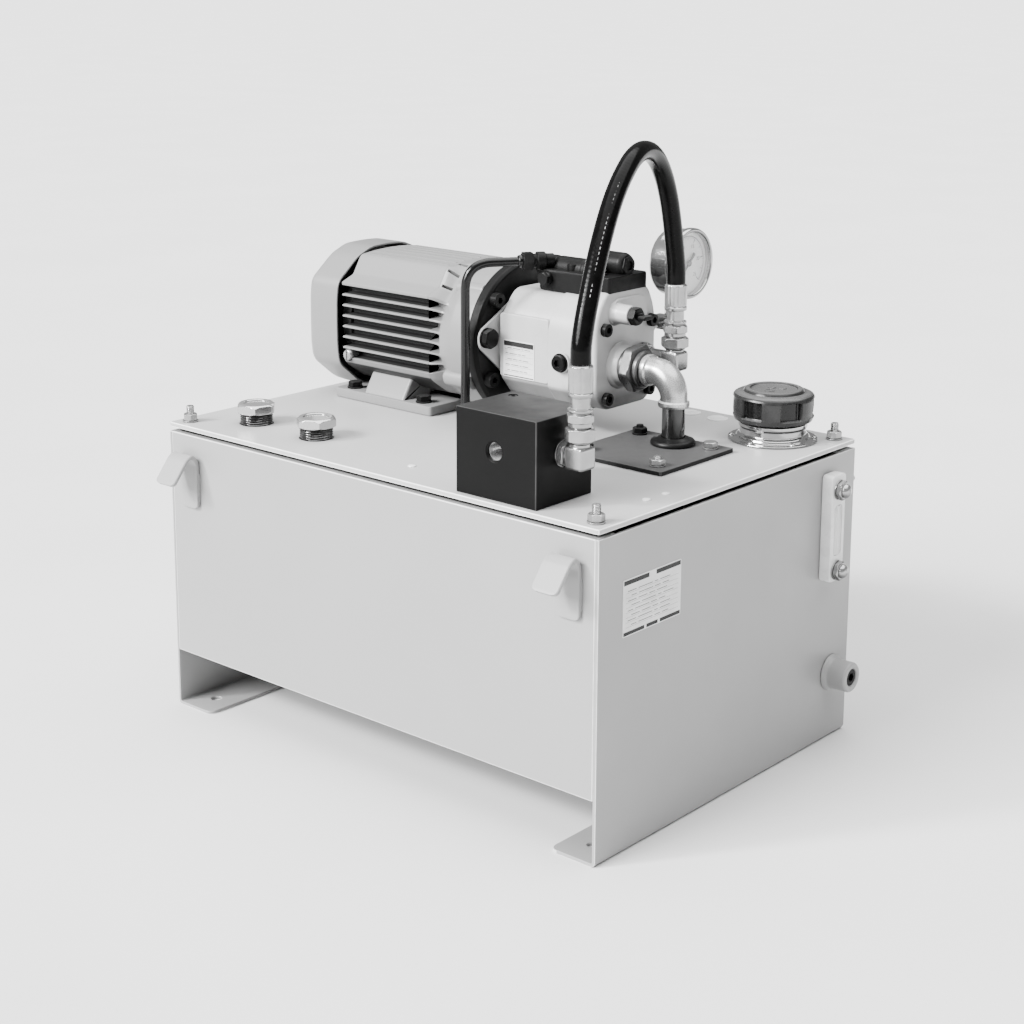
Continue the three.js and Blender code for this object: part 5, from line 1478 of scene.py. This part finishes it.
def numeral(text, y, z, size):
    """A dial number as a flat raised mesh that faces +X."""
    curve = bpy.data.curves.new("number", "FONT")
    curve.body, curve.size, curve.extrude = text, size * MM, 0.00004
    curve.align_x, curve.align_y = "CENTER", "CENTER"
    holder = new_object("number", curve)
    mesh = bpy.data.meshes.new_from_object(holder.evaluated_get(bpy.context.evaluated_depsgraph_get()))
    bpy.data.objects.remove(holder)
    place = at(face + 0.06, y, z)
    for vertex in mesh.vertices:
        u, v, w = vertex.co
        vertex.co = place + Vector((w, u, v))
    obj = new_object(f"pressure_gauge_number_{text}", mesh)
    finish_piece(obj, INK, "unit")


for k in range(6):
    ny, nz = polar(math.radians(225 - 54 * k), 17.4)
    numeral(str(k * 5), ny, nz, 5.4)
piece("pressure_gauge_glass", [rod("x", (gx1 - 2.4, gy, gz), 30.7, 1.4, 0.3, 128)], GLASS)
turn = math.radians(225)


def pointer_outline():
    flat = [(-12, -2.0), (-13, 0), (-12, 2.0), (-3, 1.1), (0, 1.5), (24.5, 0.25), (24.5, -0.25), (0, -1.5),
            (-3, -1.1)]
    c, s = math.cos(turn), math.sin(turn)
    return [(u * c - v * s, u * s + v * c) for u, v in flat]


fine("pressure_gauge_needle", [
    prism("x", (gx1 - 5, gy, gz), [Vector(p) for p in pointer_outline()], 0.8, 0.1, 1),
    turned("x", (gx1 - 11, gy, gz), [(0, 0), (1.2, 0), (1.2, 5.6), (3.2, 5.8), (3.2, 7.4), (1.4, 8),
                                     (0, 8.1)], 40, 0.3)], INK)

# ---------- floor and light ----------


def make_floor():
    """A large pale floor, cut into a grid so that it stays flat in any view."""
    size, cells = 60.0, 8
    row = cells + 1
    points = [((i / cells - 0.5) * size, (j / cells - 0.5) * size, 0) for j in range(row) for i in range(row)]
    faces = [(j * row + i, j * row + i + 1, (j + 1) * row + i + 1, (j + 1) * row + i)
             for j in range(cells) for i in range(cells)]
    mesh = bpy.data.meshes.new("floor")
    mesh.from_pydata(points, [], faces)
    floor = new_object("floor", mesh)
    m = Nodes("floor", 0.9)
    m.set(Specular_IOR_Level=0.1)
    m.colour(m.mix(m.ramp(m.noise(3, 3), 0.3, 0.7, 0, 1), grey(0.68), grey(0.65)))
    mesh.materials.append(m.material)
    floor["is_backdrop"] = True


def sun(name, towards, strength, spread):
    """Even light over the whole floor, from a soft disc some degrees wide."""
    data = bpy.data.lights.new(name, "SUN")
    data.energy, data.angle = strength, math.radians(spread)
    light = new_object(name, data)
    light.rotation_mode = "QUATERNION"
    light.rotation_quaternion = Vector(towards).to_track_quat("Z", "Y")


make_floor()
sun("key", (-0.28, -0.82, 0.50), 10.0, 34)
sun("spark", (-0.45, -0.70, 0.55), 4.0, 7)
sun("top", (0.05, 0.10, 1.0), 6.0, 80)
world = bpy.data.worlds.new("studio")
world.use_nodes = True
world.node_tree.nodes["Background"].inputs["Color"].default_value = (1, 1, 1, 1)
world.node_tree.nodes["Background"].inputs["Strength"].default_value = 0.3
bpy.context.scene.world = world

bpy.context.view_layer.update()
low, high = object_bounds()
